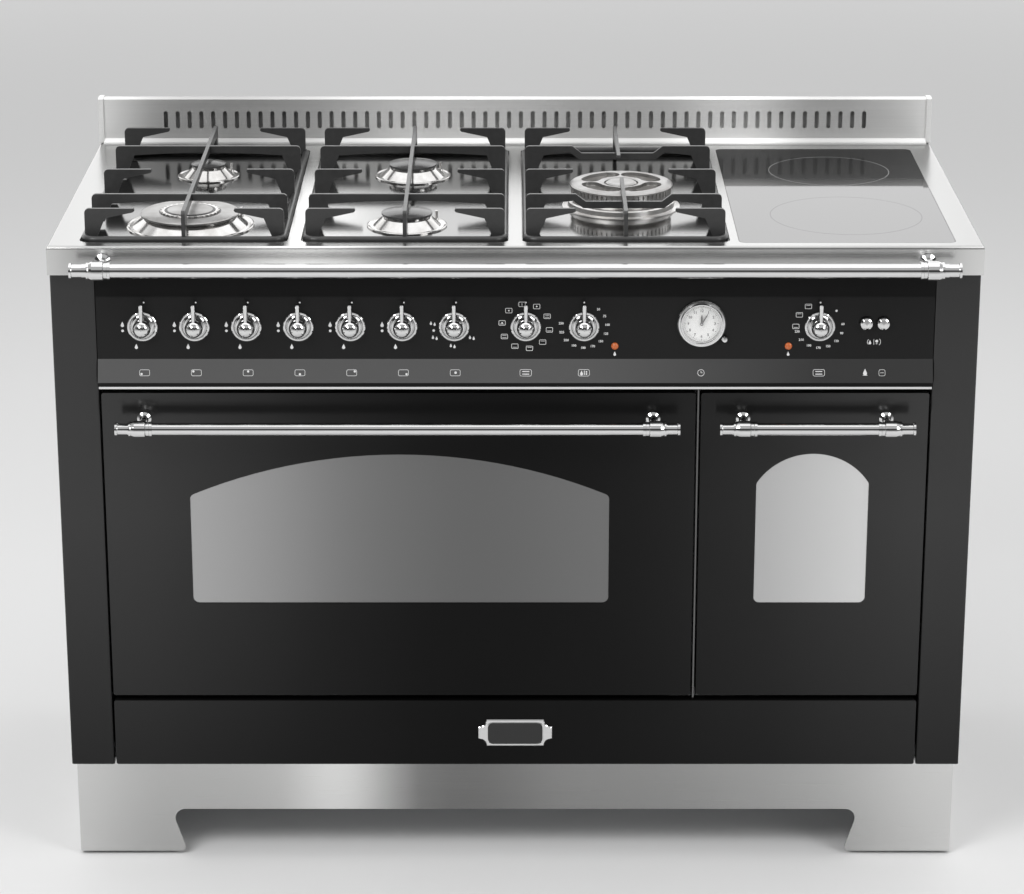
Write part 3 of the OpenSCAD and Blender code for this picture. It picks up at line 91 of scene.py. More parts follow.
class Paint:
    # one material's node tree; node() is the only way a node is made
    def __init__(self, name, tree=None):
        if tree is None:
            self.material = bpy.data.materials.new(name)
            self.material.use_nodes = True
            tree = self.material.node_tree
        self.tree = tree
        self.tree.nodes.clear()

    def node(self, kind, settings=None, inputs=None, out=0):
        # a node of this kind, with its settings first and then its sockets' values or links
        made = self.tree.nodes.new(kind)
        for name, value in (settings or {}).items():
            if name == "stops":
                ramp = made.color_ramp
                if len(value) > 3:
                    ramp.interpolation = "CARDINAL"
                while len(ramp.elements) < len(value):
                    ramp.elements.new(0.5)
                for element, (at, shade) in zip(ramp.elements, value):
                    element.position = at
                    element.color = (shade, shade, shade, 1) if isinstance(shade, (int, float)) else shade
            else:
                setattr(made, name, value)
        for name, value in (inputs or {}).items():
            if isinstance(value, Field):
                self.tree.links.new(value.socket, made.inputs[name])
            else:
                made.inputs[name].default_value = value
        return Field(self, made.outputs[out]) if made.outputs else None

    def maths(self, operation, first, second):
        # one Math node on two numbers or sockets
        return self.node("ShaderNodeMath", {"operation": operation}, {0: first, 1: second})

    def clamped(self, value, low=0.0, high=1.0):
        # value held between low and high
        return self.maths("MINIMUM", self.maths("MAXIMUM", value, low), high)

    def place(self):
        # the point on the piece, in metres
        return self.node("ShaderNodeTexCoord", out="Object")

    def parts(self):
        # the three coordinates of a point on the piece, in metres
        split = self.node("ShaderNodeSeparateXYZ", None, {0: self.place()})
        return [Field(self, end) for end in split.socket.node.outputs]

    def stretched(self, x, y, z):
        # that point, with each coordinate multiplied by its own factor
        return self.node("ShaderNodeMapping", None, {"Vector": self.place(), "Scale": (x, y, z)})

    def noise(self, size, detail=2.0, stretch=(1, 1, 1), rough=0.5):
        # soft random field, about 0.5, whose patches are 1/size metres across
        where = self.stretched(*[size * s for s in stretch])
        return self.node("ShaderNodeTexNoise", None,
                         {"Vector": where, "Scale": 1.0, "Detail": detail, "Roughness": rough})

    def spots(self, size, out="Distance"):
        # scattered cells, 1/size metres across
        return self.node("ShaderNodeTexVoronoi", {"feature": "F1"},
                         {"Vector": self.place(), "Scale": size}, out)

    def ramp(self, value, stops):
        # the shade that (place, shade) stops give at this value, smooth where there are more than three
        return self.node("ShaderNodeValToRGB", {"stops": stops}, {0: value})

    def along(self, x, paintedBands):
        # a value that follows (place, value) pairs, from one end of x to the other
        low, high = paintedBands[0][0], paintedBands[-1][0]
        return self.ramp((x - low) / (high - low), [((at - low) / (high - low), v) for at, v in paintedBands])

    def mixed(self, amount, first, second):
        # first where amount is 0 and second where it is 1
        return self.node("ShaderNodeMix", {"data_type": "RGBA"}, {0: amount, 6: first, 7: second}, out=2)

    def bump(self, height, strength=0.3, depth=0.0005):
        # a normal tilted as if the surface rose by height times depth, in metres
        return self.node("ShaderNodeBump", None,
                         {"Height": height, "Strength": strength, "Distance": depth})

    def surface(self, **sockets):
        # a Principled shader; cover is a share of the surface and another shader that covers it
        names = {"baseColor": "Base Color", "roughness": "Roughness", "metallic": "Metallic",
                 "normal": "Normal", "coat": "Coat Weight", "coatRough": "Coat Roughness",
                 "ior": "IOR", "alpha": "Alpha", "glow": "Emission Color", "glowPower": "Emission Strength",
                 "level": "Specular IOR Level"}
        cover = sockets.pop("cover", None)
        shader = self.node("ShaderNodeBsdfPrincipled", None, {names[k]: v for k, v in sockets.items()})
        if cover:
            shader = self.node("ShaderNodeMixShader", None, {0: cover[0], 1: shader, 2: cover[1]})
        self.node("ShaderNodeOutputMaterial", None, {"Surface": shader})
        return self.material


def grey(v, warm=0.0):
    # a grey whose red is raised and whose blue is lowered by the share warm
    return (v * (1 + warm), v, v * (1 - warm), 1)


blackPaintLook = {"dark": 0.002, "light": 0.004, "rough": 0.38, "peel": 0.05, "gloss": 0.10}
panelPaintLook = {"dark": 0.005, "light": 0.009, "rough": 0.38, "peel": 0.05, "gloss": 0.14, "shine": 0.12}
# painted sheen: how much paler and glossier the paint is made towards the ends of the cooker, standing in for
# the room's reflection, at places along X in metres
paintedSheenBands = [(-0.60, 0.040), (-0.46, 0.033), (-0.30, 0.015), (-0.15, 0.004), (0.05, 0.002), (0.22, 0.010),
             (0.36, 0.022), (0.50, 0.037), (0.60, 0.040)]
# what is left of that painted sheen low down, between which heights it grows, and what share of it is gloss
paintedSheenLook = {"least": 0.42, "from": 0.15, "to": 0.50, "gloss": 0.85, "mirror": 25.5, "coatRough": 0.15}
# the panel's sloping strip: its greys of painted reflection, where along X they pass, its height, its foot of
# painted shade, and the painted shade at the panel's top edge
stripLook = {"left": 0.085, "right": 0.034, "from": 0.10, "to": 0.40, "high": 34 * mm, "foot": 4.5 * mm,
             "footShadeTone": 0.004, "shade": 36 * mm, "shadeEdge": 3 * mm, "shadeTone": 0.002, "shadeShare": 0.8}


def blackPaint(name="matteBlackPaint", look=blackPaintLook, strip=None):
    # stove paint: dark grey with slow clouds and a fine orange peel, with a painted sheen towards the
    # cooker's ends (a paler tone and a thicker coat);
    # a panel is even, with a paler strip below whose painted reflection falls off from left to right, and
    # painted shade at its top edge and at the strip's foot
    p = Paint(name)
    clouds = p.noise(3.0, 2.0)
    grain = p.noise(900.0, 2.0)
    tone = look["dark"] + (look["light"] - look["dark"]) * p.ramp(clouds, [(0.3, 0), (0.7, 1)])
    x, z = p.parts()[::2]
    if strip:
        # painted reflection: the sloping strip is paler at the left and falls off to the right
        reach = p.clamped((x - strip["from"]) / (strip["to"] - strip["from"]))
        stripReflection = p.mixed(reach, grey(strip["left"]), grey(strip["right"]))
        low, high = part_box("control_panel")
        # painted shade under the hob's lip, along the panel's top edge
        shade = p.clamped((z - (high.z - strip["shade"])) / strip["shadeEdge"])
        shine = look["shine"] * (1 - shade)
        tone = p.mixed(shade * strip["shadeShare"], tone, grey(strip["shadeTone"]))
        tone = p.mixed(z < low.z + strip["high"], tone, stripReflection)
        # painted shade: the strip's foot is dark
        tone = p.mixed(z < low.z + strip["foot"], tone, grey(strip["footShadeTone"]))
    else:
        # painted sheen towards the cooker's ends, growing with height: a paler tone and a thicker coat
        height = p.clamped((z - paintedSheenLook["from"]) / (paintedSheenLook["to"] - paintedSheenLook["from"]))
        pale = p.along(x, paintedSheenBands) * (paintedSheenLook["least"] + (1 - paintedSheenLook["least"]) * height)
        tone = tone + pale * (1 - paintedSheenLook["gloss"])
        shine = p.clamped(pale * (paintedSheenLook["gloss"] * paintedSheenLook["mirror"]))
    rough = look["rough"] + 0.10 * clouds + 0.06 * grain
    return p.surface(baseColor=tone, roughness=rough, level=look["gloss"], coat=shine,
                     coatRough=paintedSheenLook["coatRough"], normal=p.bump(grain, look["peel"], 0.0002))


steelLook = {"tone": 0.52, "spread": 0.10, "rough": 0.24, "lines": 0.07, "metal": 1.0}
splashLook = {"tone": 0.86, "spread": 0.12, "rough": 0.42, "lines": 0.12, "metal": 0.55}
# places along the cooker, in metres from its middle, and how bright the painted reflection of the studio is
# there
hobReflectionBands = [(-0.60, 0.35), (-0.34, 0.48), (-0.26, 0.74), (-0.17, 0.50), (0.10, 0.44), (0.53, 0.38),
            (0.60, 0.30)]
lipReflectionBands = [(-0.60, 0.68), (-0.545, 0.42), (-0.38, 0.48), (-0.31, 0.92), (-0.23, 0.92), (-0.17, 0.52),
            (-0.05, 0.40), (0.30, 0.44), (0.53, 0.50), (0.60, 0.78)]
skirtReflectionBands = [(-0.60, 0.63), (-0.47, 0.49), (-0.32, 0.60), (-0.245, 0.84), (-0.19, 0.62), (-0.13, 0.29),
              (0.05, 0.26), (0.35, 0.40), (0.60, 0.64)]
splashReflectionBands = [(-0.60, 0.80), (-0.48, 0.42), (-0.30, 0.50), (-0.08, 0.90), (0.08, 0.62), (0.20, 0.66),
               (0.33, 0.98), (0.43, 0.60), (0.60, 0.80)]
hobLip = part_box("hob_top")[0].y + 1.8 * mm
trayReflectionLook = {"tone": -0.24, "rough": 0.11}
trays = [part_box(side + "_pan_support") for side in ("left", "middle", "wok")]


def brushedSteel(name, look=steelLook, patches=2.2, paintedBands=None, pressed=(), lip=None):
    # stainless steel: fine lines drawn out along X, over slow light and dark patches;
    # paintedBands are painted reflections, broad changes of brightness along X, with their own on a lip in
    # front of a place along Y, and pressed boxes hold a glossier sheet whose darker tone is a painted
    # reflection
    p = Paint(name)
    lines = p.noise(1.0, 3.0, (6, 1300, 1300), 0.7)
    x, y = p.parts()[:2]
    slow = p.node("ShaderNodeTexNoise", {"noise_dimensions": "1D"},
                  {"W": x * patches, "Scale": 1.0, "Detail": 1.0})
    # painted reflection: broad bands of the studio's light along X, with the lip's own in front
    base = p.along(x, paintedBands) if paintedBands else look["tone"]
    if lip:
        base = base + (p.along(x, lip[1]) - base) * (y < lip[0])
    level = base + look["spread"] * 2 * (slow - 0.5) + look["lines"] * (lines - 0.5)
    rough = look["rough"] + 0.18 * (lines - 0.5)
    # polished trays: a lower roughness, and a darker tone painted as their reflection
    for low, high in pressed:
        inside = (x > low.x) * (x < high.x) * (y > low.y) * (y < high.y)
        level = level + trayReflectionLook["tone"] * inside
        rough = rough + (trayReflectionLook["rough"] - look["rough"]) * inside
    tone = p.node("ShaderNodeCombineColor", None, {0: level, 1: level, 2: level * 0.99})
    return p.surface(baseColor=tone, roughness=rough, metallic=look["metal"],
                     normal=p.bump(lines, 0.05, 0.0001))


chromeLook = {"tone": 0.67, "rough": 0.035}


def brightChrome(name="brightChrome", look=chromeLook):
    # polished chrome plate, with faint wiping marks in its gloss
    p = Paint(name)
    wipes = p.noise(60.0, 3.0, (1, 1, 3))
    fine = p.noise(2500.0, 1.0)
    tone = p.mixed(wipes, grey(look["tone"] * 0.94), grey(look["tone"] * 1.06))
    rough = look["rough"] + 0.05 * p.clamped(wipes - 0.45) + 0.015 * fine
    return p.surface(baseColor=tone, roughness=rough, metallic=1.0)


enamelLook = {"dark": 0.026, "light": 0.042, "rough": 0.26, "skin": 0.16, "pits": 0.22}
capLook = {"dark": 0.050, "light": 0.062, "rough": 0.20, "skin": 0.05, "pits": 0.05}


def castEnamel(name="blackCastEnamel", look=enamelLook):
    # enamel on cast iron: small pits and a wavy skin
    p = Paint(name)
    skin = p.noise(160.0, 3.0)
    pits = p.noise(1400.0, 2.0)
    tone = p.mixed(skin, grey(look["dark"]), grey(look["light"]))
    rough = look["rough"] + look["skin"] * skin
    return p.surface(baseColor=tone, roughness=rough,
                     normal=p.bump(skin * 0.6 + pits * 0.4, look["pits"], 0.0004))


burnerLook = {"tone": 0.40, "rough": 0.30}
polishedLook = {"tone": 0.60, "rough": 0.09}
satinLook = {"tone": 0.74, "rough": 0.27}
# the ring of painted shade in the rapid cap's groove: its inner and outer share of the radius, and its tone
grooveLook = {"from": 0.46, "to": 0.63, "tone": 0.05}


def burnerAlloy(name="burnerAlloy", look=burnerLook, groove=None):
    # turned aluminium, with a fine grain and some heat stain; groove is the box of a cap that has a ring of
    # painted shade in its groove
    # between two shares of its radius: distance from its middle / half its width
    p = Paint(name)
    stain = p.noise(45.0, 3.0)
    fine = p.noise(1800.0, 2.0)
    tone = p.mixed(p.ramp(stain, [(0.35, 0), (0.75, 1)]),
                   grey(look["tone"], 0.01), grey(look["tone"] * 0.72, 0.03))
    if groove:
        low, high = groove
        midX, midY, radius = (low.x + high.x) / 2, (low.y + high.y) / 2, (high.x - low.x) / 2
        x, y = p.parts()[:2]
        out = ((x - midX) ** 2 + (y - midY) ** 2) ** 0.5 / radius
        # painted shade in the cap's groove
        grooveShade = (out > grooveLook["from"]) * (out < grooveLook["to"])
        tone = p.mixed(grooveShade, tone, grey(grooveLook["tone"]))
    return p.surface(baseColor=tone, roughness=look["rough"] + 0.12 * stain, metallic=0.95,
                     normal=p.bump(fine, 0.10, 0.0001))


def ovenEnamel(name="speckledOvenEnamel"):
    # easy-clean enamel: near black, with small pale flecks
    p = Paint(name)
    flecks = p.ramp(p.spots(420.0), [(0.0, 1), (0.16, 0)])
    clouds = p.noise(9.0, 2.0)
    base = p.mixed(clouds, (0.030, 0.031, 0.036, 1), (0.044, 0.045, 0.050, 1))
    tone = p.mixed(flecks * 0.55, base, (0.20, 0.21, 0.23, 1))
    return p.surface(baseColor=tone, roughness=0.22 + 0.16 * clouds, coat=0.3, coatRough=0.12,
                     normal=p.bump(clouds, 0.1, 0.001))


def zincSheet(name="zincSheet"):
    # galvanised sheet: flat crystals, each a slightly different grey
    p = Paint(name)
    one = p.node("ShaderNodeSeparateColor", None, {0: p.spots(75.0, "Color")})
    fine = p.noise(500.0, 2.0)
    tone = p.mixed(one, (0.34, 0.35, 0.36, 1), (0.50, 0.51, 0.52, 1))
    return p.surface(baseColor=tone, roughness=0.34 + 0.14 * one + 0.06 * fine, metallic=0.9,
                     normal=p.bump(fine, 0.08, 0.0002))


ceramicLook = {"satin": 0.86, "from": 0.06, "to": 0.10}


def ceramicGlass(name="blackCeramicGlass", look=ceramicLook):
    # black glass: nearly all of its look is what it mirrors, with a faint dot print below the skin;
    # towards the back a matt print dulls that mirror
    p = Paint(name)
    dots = p.ramp(p.spots(260.0), [(0.0, 1), (0.22, 0)])
    smear = p.noise(12.0, 3.0)
    tone = p.mixed(dots * 0.35, grey(0.006), grey(0.03))
    back = p.clamped((p.parts()[1] - look["from"]) / (look["to"] - look["from"]))
    matt = p.node("ShaderNodeBsdfPrincipled", None,
                  {"Base Color": grey(0.008), "Roughness": 0.6, "Specular IOR Level": 0.1})
    return p.surface(baseColor=tone, roughness=0.02 + 0.03 * smear, ior=2.0,
                     cover=(look["satin"] * back, matt))


def doorGlass(name, pane, reflectionTones):
    # mirrored oven glass: a painted reflection runs across the pane, lighter and darker as the room the
    # coating mirrors
    p = Paint(name)
    low, high = pane
    across = p.clamped((p.parts()[0] - low.x) / (high.x - low.x))
    smear = p.noise(8.0, 3.0)
    # painted reflection across the pane
    tone = p.ramp(across, reflectionTones)
    return p.surface(baseColor=tone, roughness=0.05 + 0.05 * smear, metallic=0.85, coat=0.3, coatRough=0.02)


def brass(name="castBrass"):
    # cast brass: a grainy skin whose paler spots are duller
    p = Paint(name)
    cast = p.noise(220.0, 3.0)
    tone = p.mixed(cast, (0.50, 0.37, 0.16, 1), (0.64, 0.50, 0.26, 1))
    return p.surface(baseColor=tone, roughness=0.30 + 0.16 * cast, metallic=1.0,
                     normal=p.bump(cast, 0.15, 0.0003))


def crystal(name="clockCrystal"):
    # the clock's clear glass: nearly all of the dial shows through
    p = Paint(name)
    smear = p.noise(90.0, 2.0)
    return p.surface(baseColor=(1, 1, 1, 1), roughness=0.02 + 0.03 * smear, alpha=0.10, ior=1.5)


def amberLens(name="amberLens"):
    # moulded lens: a fine grain between a darker and a paler amber, with a faint glow of its own
    p = Paint(name)
    ribs = p.noise(700.0, 1.0)
    tone = p.mixed(ribs, (0.38, 0.075, 0.014, 1), (0.52, 0.13, 0.03, 1))
    return p.surface(baseColor=tone, roughness=0.16 + 0.1 * ribs, coat=0.4, coatRough=0.03,
                     glow=(0.9, 0.22, 0.03, 1), glowPower=0.05)


def ribbedLens(name="ovenLampLens"):
    # pressed lamp glass: pale, with ribs that dull its gloss
    p = Paint(name)
    ribs = p.noise(500.0, 1.0)
    return p.surface(baseColor=p.mixed(ribs, grey(0.34, 0.04), grey(0.46, 0.05)), roughness=0.12 + 0.2 * ribs,
                     coat=0.5, coatRough=0.03, normal=p.bump(ribs, 0.2, 0.0003))


def softBlack(name, tone=0.02, rough=0.55, size=500.0):
    # moulded rubber or plastic: a fine even grain
    p = Paint(name)
    grain = p.noise(size, 2.0)
    shade = p.mixed(grain, grey(tone * 0.8), grey(tone * 1.25))
    return p.surface(baseColor=shade, roughness=rough + 0.12 * grain, normal=p.bump(grain, 0.15, 0.0002))


def printedInk(name, tone, rough=0.45):
    # screen print: slightly uneven in its cover
    p = Paint(name)
    cover = p.noise(1500.0, 2.0)
    return p.surface(baseColor=p.mixed(cover, grey(tone * 0.9), grey(tone)), roughness=rough + 0.1 * cover)


def dialWhite(name="dialWhite"):
    # the clock's dial: an even warm white
    p = Paint(name)
    paper = p.noise(600.0, 2.0)
    tone = p.mixed(paper, (0.80, 0.80, 0.79, 1), (0.86, 0.86, 0.85, 1))
    return p.surface(baseColor=tone, roughness=0.4 + 0.1 * paper)


looks = {
    "black": blackPaint(),
    "panel": blackPaint("panelPaint", panelPaintLook, stripLook),
    "hobSteel": brushedSteel("brushedHobSteel", paintedBands=hobReflectionBands, pressed=trays, lip=(hobLip, lipReflectionBands)),
    "dividerSteel": brushedSteel("brushedDividerSteel", look={**steelLook, "tone": 0.13, "spread": 0.02}),
    "splashSteel": brushedSteel("brushedSplashSteel", look=splashLook, patches=5.0, paintedBands=splashReflectionBands),
    "skirtSteel": brushedSteel("brushedSkirtSteel", patches=2.6, paintedBands=skirtReflectionBands),
    "chrome": brightChrome(),
    "enamel": castEnamel(),
    "capEnamel": castEnamel("greyCapEnamel", capLook),
    "alloy": burnerAlloy(),
    "polished": burnerAlloy("polishedBurner", polishedLook),
    "satin": burnerAlloy("satinBurner", satinLook),
    "element": burnerAlloy("grillElementSteel", {"tone": 0.16, "rough": 0.42}),
    "lens": ribbedLens(),
    "rapidCap": burnerAlloy("rapidCapAlloy", groove=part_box("rapid_cap")),
    "oven": ovenEnamel(),
    "zinc": zincSheet(),
    "ceramic": ceramicGlass(),
    "brass": brass(),
    "crystal": crystal(),
    "amber": amberLens(),
    "rubber": softBlack("sealRubber", 0.018, 0.6),
    "foot": softBlack("footPlastic", 0.022, 0.5, 300.0),
    "hand": softBlack("handBlack", 0.012, 0.35, 900.0),
    "field": softBlack("plateField", 0.010, 0.3, 800.0),
    "print": printedInk("paleInk", 0.72),
    "rearZone": printedInk("rearZoneInk", 0.20, 0.10),
    "frontZone": printedInk("frontZoneInk", 0.012, 0.02),
    "darkPrint": printedInk("darkInk", 0.03),
    "dial": dialWhite(),
}
windowBox = {side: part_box(side + "_door_panes") for side in ("main", "small")}
# shares of the pane's width, and how bright the painted reflection on its coating is there
glassReflectionTones = {"main": [(0.0, 0.36), (0.3, 0.21), (0.6, 0.12), (1.0, 0.145)],
              "small": [(0.15, 0.43), (0.85, 0.60)]}
for side, reflectionTones in glassReflectionTones.items():
    looks[side + "Glass"] = doorGlass(side + "OvenGlass", windowBox[side], reflectionTones)

nodeLooks = {
    "black": ["left_side_panel", "right_side_panel", "main_door_skin", "small_door_skin", "drawer_front"],
    "panel": ["control_panel"],
    "zinc": ["back_panel", "base_pan", "drawer_runners", "drawer_tray", "door_hinges"],
    "hobSteel": ["hob_top"],
    "dividerSteel": ["centre_divider"],
    "splashSteel": ["splashback"],
    "skirtSteel": ["plinth_skirt"],
    "foot": ["levelling_feet"],
    "ceramic": ["ceramic_glass"],
    "polished": ["rapid_burner", "auxiliary_burner", "semi_rapid_burners"],
    "satin": ["wok_burner"],
    "rapidCap": ["rapid_cap"],
    "alloy": ["wok_caps"],
    "capEnamel": ["auxiliary_cap", "semi_rapid_caps"],
    "enamel": ["left_pan_support", "middle_pan_support", "wok_pan_support"],
    "oven": ["main_oven_cavity", "small_oven_cavity", "main_door_liner", "small_door_liner"],
    "brass": ["valves_and_switches"],
    "crystal": ["clock_glass"],
    "amber": ["indicator_lamps"],
    "hand": ["clock_hour_hand", "clock_minute_hand"],
    "mainGlass": ["main_door_panes"],
    "smallGlass": ["small_door_panes"],
}
dressed = {node: look for look, nodes in nodeLooks.items() for node in nodes}
for node, piece in frame["nodes"].items():
    piece.data.materials.clear()
    piece.data.materials.append(looks[dressed.get(node, "chrome")])
print("materials on the solids:", len(looks), "finishes")


# shapes

def gridFaces(rows, columns, closedRows, closedColumns, start=0):
    # quad (i, j) joins point (i, j) to its next row and its next column, counted round where that is closed
    i, j = np.meshgrid(np.arange(rows - (not closedRows)), np.arange(columns - (not closedColumns)),
                       indexing="ij")
    i2, j2 = (i + 1) % rows, (j + 1) % columns
    quads = np.stack([i * columns + j, i * columns + j2, i2 * columns + j2, i2 * columns + j], -1)
    return (quads.reshape(-1, 4) + start).tolist()


def joined(parts):
    # several (points, faces) as one, each part's face numbers moved on by the points before it
    points, faces, start = [], [], 0
    for p, f in parts:
        points.append(np.asarray(p, float))
        faces += [[n + start for n in face] for face in f]
        start += len(p)
    return np.vstack(points), faces


def newPiece(name, part, look, body, smooth=35.0):
    # a mesh object from (points, faces): doubles merged, faces outward, and edges past smooth degrees sharp
    points, faces = part
    mesh = bpy.data.meshes.new(name)
    mesh.from_pydata(np.asarray(points).tolist(), [], faces)
    work = bmesh.new()
    work.from_mesh(mesh)
    bmesh.ops.remove_doubles(work, verts=work.verts, dist=1e-6)
    bmesh.ops.dissolve_degenerate(work, edges=work.edges, dist=1e-7)
    bmesh.ops.recalc_face_normals(work, faces=work.faces)
    for face in work.faces:
        face.smooth = True
    for edge in work.edges:
        edge.smooth = edge.is_manifold and edge.calc_face_angle(3.0) < math.radians(smooth)
    work.to_mesh(mesh)
    work.free()
    mesh.materials.append(looks[look])
    piece = bpy.data.objects.new(name, mesh)
    bpy.context.scene.collection.objects.link(piece)
    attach(piece, body)
    return piece


def turned(profile, centre, steps=48):
    # profile rows are (radius, height): point = centre + radius (cos a, sin a) across and height along -Y
    r, h = np.asarray(profile, float).T
    a = np.linspace(0, 2 * np.pi, steps, endpoint=False)
    points = np.stack([r[:, None] * np.cos(a), -h[:, None] + 0 * a, r[:, None] * np.sin(a)], -1)
    return points.reshape(-1, 3) + np.asarray(centre), gridFaces(len(r), steps, False, True)


def sideways(path, closed):
    # unit normals in the path's plane, to the right of its direction, averaged and lengthened at its corners
    step = np.roll(path, -1, 0) - path
    if not closed:
        step[-1] = step[-2]
    step /= np.linalg.norm(step, axis=1)[:, None]
    before = np.roll(step, 1, 0)
    if not closed:
        before[0] = step[0]
    mean = step + before
    mean /= np.linalg.norm(mean, axis=1)[:, None]
    reach = 1 / np.maximum((mean * step).sum(1), 0.4)
    return np.stack([mean[:, 1], -mean[:, 0]], -1) * reach[:, None]


def carried(path, profile, closed=True):
    # a profile of (sideways, out) carried along a flat path: point = path + sideways * normal, at height out
    path, profile = np.asarray(path, float), np.asarray(profile, float)
    normal = sideways(path, closed)
    flat = path[:, None, :] + profile[None, :, :1] * normal[:, None, :]
    out = np.broadcast_to(profile[None, :, 1:], flat.shape[:2] + (1,))
    points = np.concatenate([flat, out], -1).reshape(-1, 3)
    rows, columns = len(path), len(profile)
    faces = gridFaces(rows, columns, closed, True)
    if not closed:
        faces += [list(range(columns)), list(range((rows - 1) * columns, rows * columns))]
    return points, faces


def band(path, width, thick, closed=True):
    # a flat ribbon: a box section carried along the path
    w = width / 2
    return carried(path, [(-w, -thick), (w, -thick), (w, thick), (-w, thick)], closed)


def prism(outline, low, high):
    # an outline with a face on each side and walls between
    outline = np.asarray(outline, float)
    n = len(outline)
    points = np.vstack([np.column_stack([outline, np.full(n, level)]) for level in (low, high)])
    return points, gridFaces(2, n, False, True) + [list(range(n)), list(range(n, 2 * n))]


def arc(centre, radius, start, end, steps):
    # points round a circle, angles in degrees
    a = np.radians(np.linspace(start, end, steps))
    return np.column_stack([centre[0] + radius * np.cos(a), centre[1] + radius * np.sin(a)])


def roundedBox(w, h, r, centre=(0, 0), steps=5):
    # four quarter circles, one after the other
    x, y = w / 2 - r, h / 2 - r
    corners = [(x, y, 0), (-x, y, 90), (-x, -y, 180), (x, -y, 270)]
    return np.vstack([arc((centre[0] + cx, centre[1] + cy), r, a, a + 90, steps) for cx, cy, a in corners])


def upright(part, x, z, y=None):
    # a part drawn in (across, up, out) put on the front: out points to -Y
    points, faces = part
    u, v, out = np.asarray(points, float).T
    return np.column_stack([x + u, (faceY if y is None else y) - out, z + v]), faces


def lettering(text, size, thick):
    # the built-in letters as a mesh, centred on the origin, standing from -thick to thick
    curve = bpy.data.curves.new("letters", "FONT")
    curve.body, curve.size, curve.extrude, curve.resolution_u = text, size, thick, 2
    curve.align_x, curve.align_y, curve.offset = "CENTER", "CENTER", 0.03 * size
    holder = bpy.data.objects.new("letters", curve)
    bpy.context.scene.collection.objects.link(holder)
    mesh = bpy.data.meshes.new_from_object(holder.evaluated_get(bpy.context.evaluated_depsgraph_get()))
    points = np.empty(len(mesh.vertices) * 3)
    mesh.vertices.foreach_get("co", points)
    faces = [list(p.vertices) for p in mesh.polygons]
    bpy.data.objects.remove(holder)
    bpy.data.curves.remove(curve)
    bpy.data.meshes.remove(mesh)
    return points.reshape(-1, 3), faces


def moved(part, du, dv, turn=0.0):
    # a flat part turned by an angle in degrees, then shifted in its plane
    points, faces = np.array(part[0], float), part[1]
    c, s = math.cos(math.radians(turn)), math.sin(math.radians(turn))
    u, v = points[:, 0].copy(), points[:, 1].copy()
    points[:, 0], points[:, 1] = u * c - v * s + du, u * s + v * c + dv
    return points, faces


# panel marks

ink = 0.06 * mm
markSizes = {"dot": 1.15 * mm, "drop": 2.6 * mm, "line": 0.55 * mm, "numeral": 4.3 * mm, "top": 32 * mm,
             "way": (9.0 * mm, 6.8 * mm, 0.65 * mm, 1.0 * mm), "wayBar": (5.4 * mm, 0.6 * mm),
             "wayLift": 1.4 * mm, "wayRing": (31 * mm, 30 * mm), "heatRing": (30 * mm, 29 * mm),
             "smallRing": (31 * mm, 31 * mm), "underButtons": 25.5 * mm, "lampInset": 4.75 * mm}


def dot(u, v, r=markSizes["dot"]):
    # a disc of 16 points about (u, v)
    return prism(arc((u, v), r, 0, 337.5, 16), -ink, ink)


def drop(u, v, h=markSizes["drop"]):
    # a flame: a circle below, drawn up to a point
    low = arc((u, v), h * 0.42, 150, 390, 11)
    return prism(np.vstack([low, [(u, v + h)]]), -ink, ink)


def iconBox(u, v, w, h, line=markSizes["line"], r=None):
    # a line round a rounded box about (u, v), w by h outside
    return band(roundedBox(w - line, h - line, r if r else h * 0.22, (u, v), 4), line, ink)


def bar(u, v, w, h):
    # a rectangle about (u, v), w across and h up
    left, right, foot, top = u - w / 2, u + w / 2, v - h / 2, v + h / 2
    return prism([(left, foot), (right, foot), (right, top), (left, top)], -ink, ink)


def placeBy(joint):
    # where a joint's axis meets the front, across and up
    return jointAt[joint][0], jointAt[joint][2]


def signs(rows):
    # rows of a kind of sign, its place across and up, and its sizes, all in mm
    return [sign(u * mm, v * mm, *[size * mm for size in sizes]) for sign, u, v, *sizes in rows]


def onOval(angle, ring):
    # a place on an oval round a knob, at this angle in degrees from the right
    a = math.radians(angle)
    return ring[0] * math.cos(a), ring[1] * math.sin(a)


marks = []
gasKnobs = [f"gas_knob_{i + 1}_turn" for i in range(6)]
for joint in gasKnobs:
    flat = signs([(dot, 2.6, 32), (drop, -26, 1.2, 5.2), (dot, -26, -6, 1.8), (drop, -9, -28.5, 5.0)])
    marks.append(upright(joined(flat), *placeBy(joint)))

# the seventh knob: a pair of small flames at each of its four settings, and two dots
pairs = [(-30.0, 3.4), (-27.5, -15.6), (-4.4, -26.6), (20.4, -15.6)]
flat = signs([(dot, 2.6, 32), (dot, -26.5, -5.6, 1.7)])
for u, v in pairs:
    flat += signs([(drop, u, v, 3.6), (drop, u + 4.8, v - 1.3, 3.6)])
marks.append(upright(joined(flat), *placeBy("glass_zone_knob_turn")))

# the oven function knob: a small box for each way of heating, with bars above, bars below, or a dot
flat = [dot(0, markSizes["top"])]
for step in range(10):
    u, v = onOval(63 - step * 36, markSizes["wayRing"])
    flat.append(iconBox(u, v, *markSizes["way"]))
    if step in (1, 3, 4, 6):
        flat.append(bar(u, v + markSizes["wayLift"], *markSizes["wayBar"]))
    if step in (1, 2, 5, 6, 7):
        flat.append(bar(u, v - markSizes["wayLift"], *markSizes["wayBar"]))
    if step in (0, 7, 8):
        flat.append(dot(u, v, 1.1 * mm))
    if step == 9:
        flat.append(bar(u, v, 0.7 * mm, 3.6 * mm))
marks.append(upright(joined(flat), *placeBy("oven_function_knob_turn")))

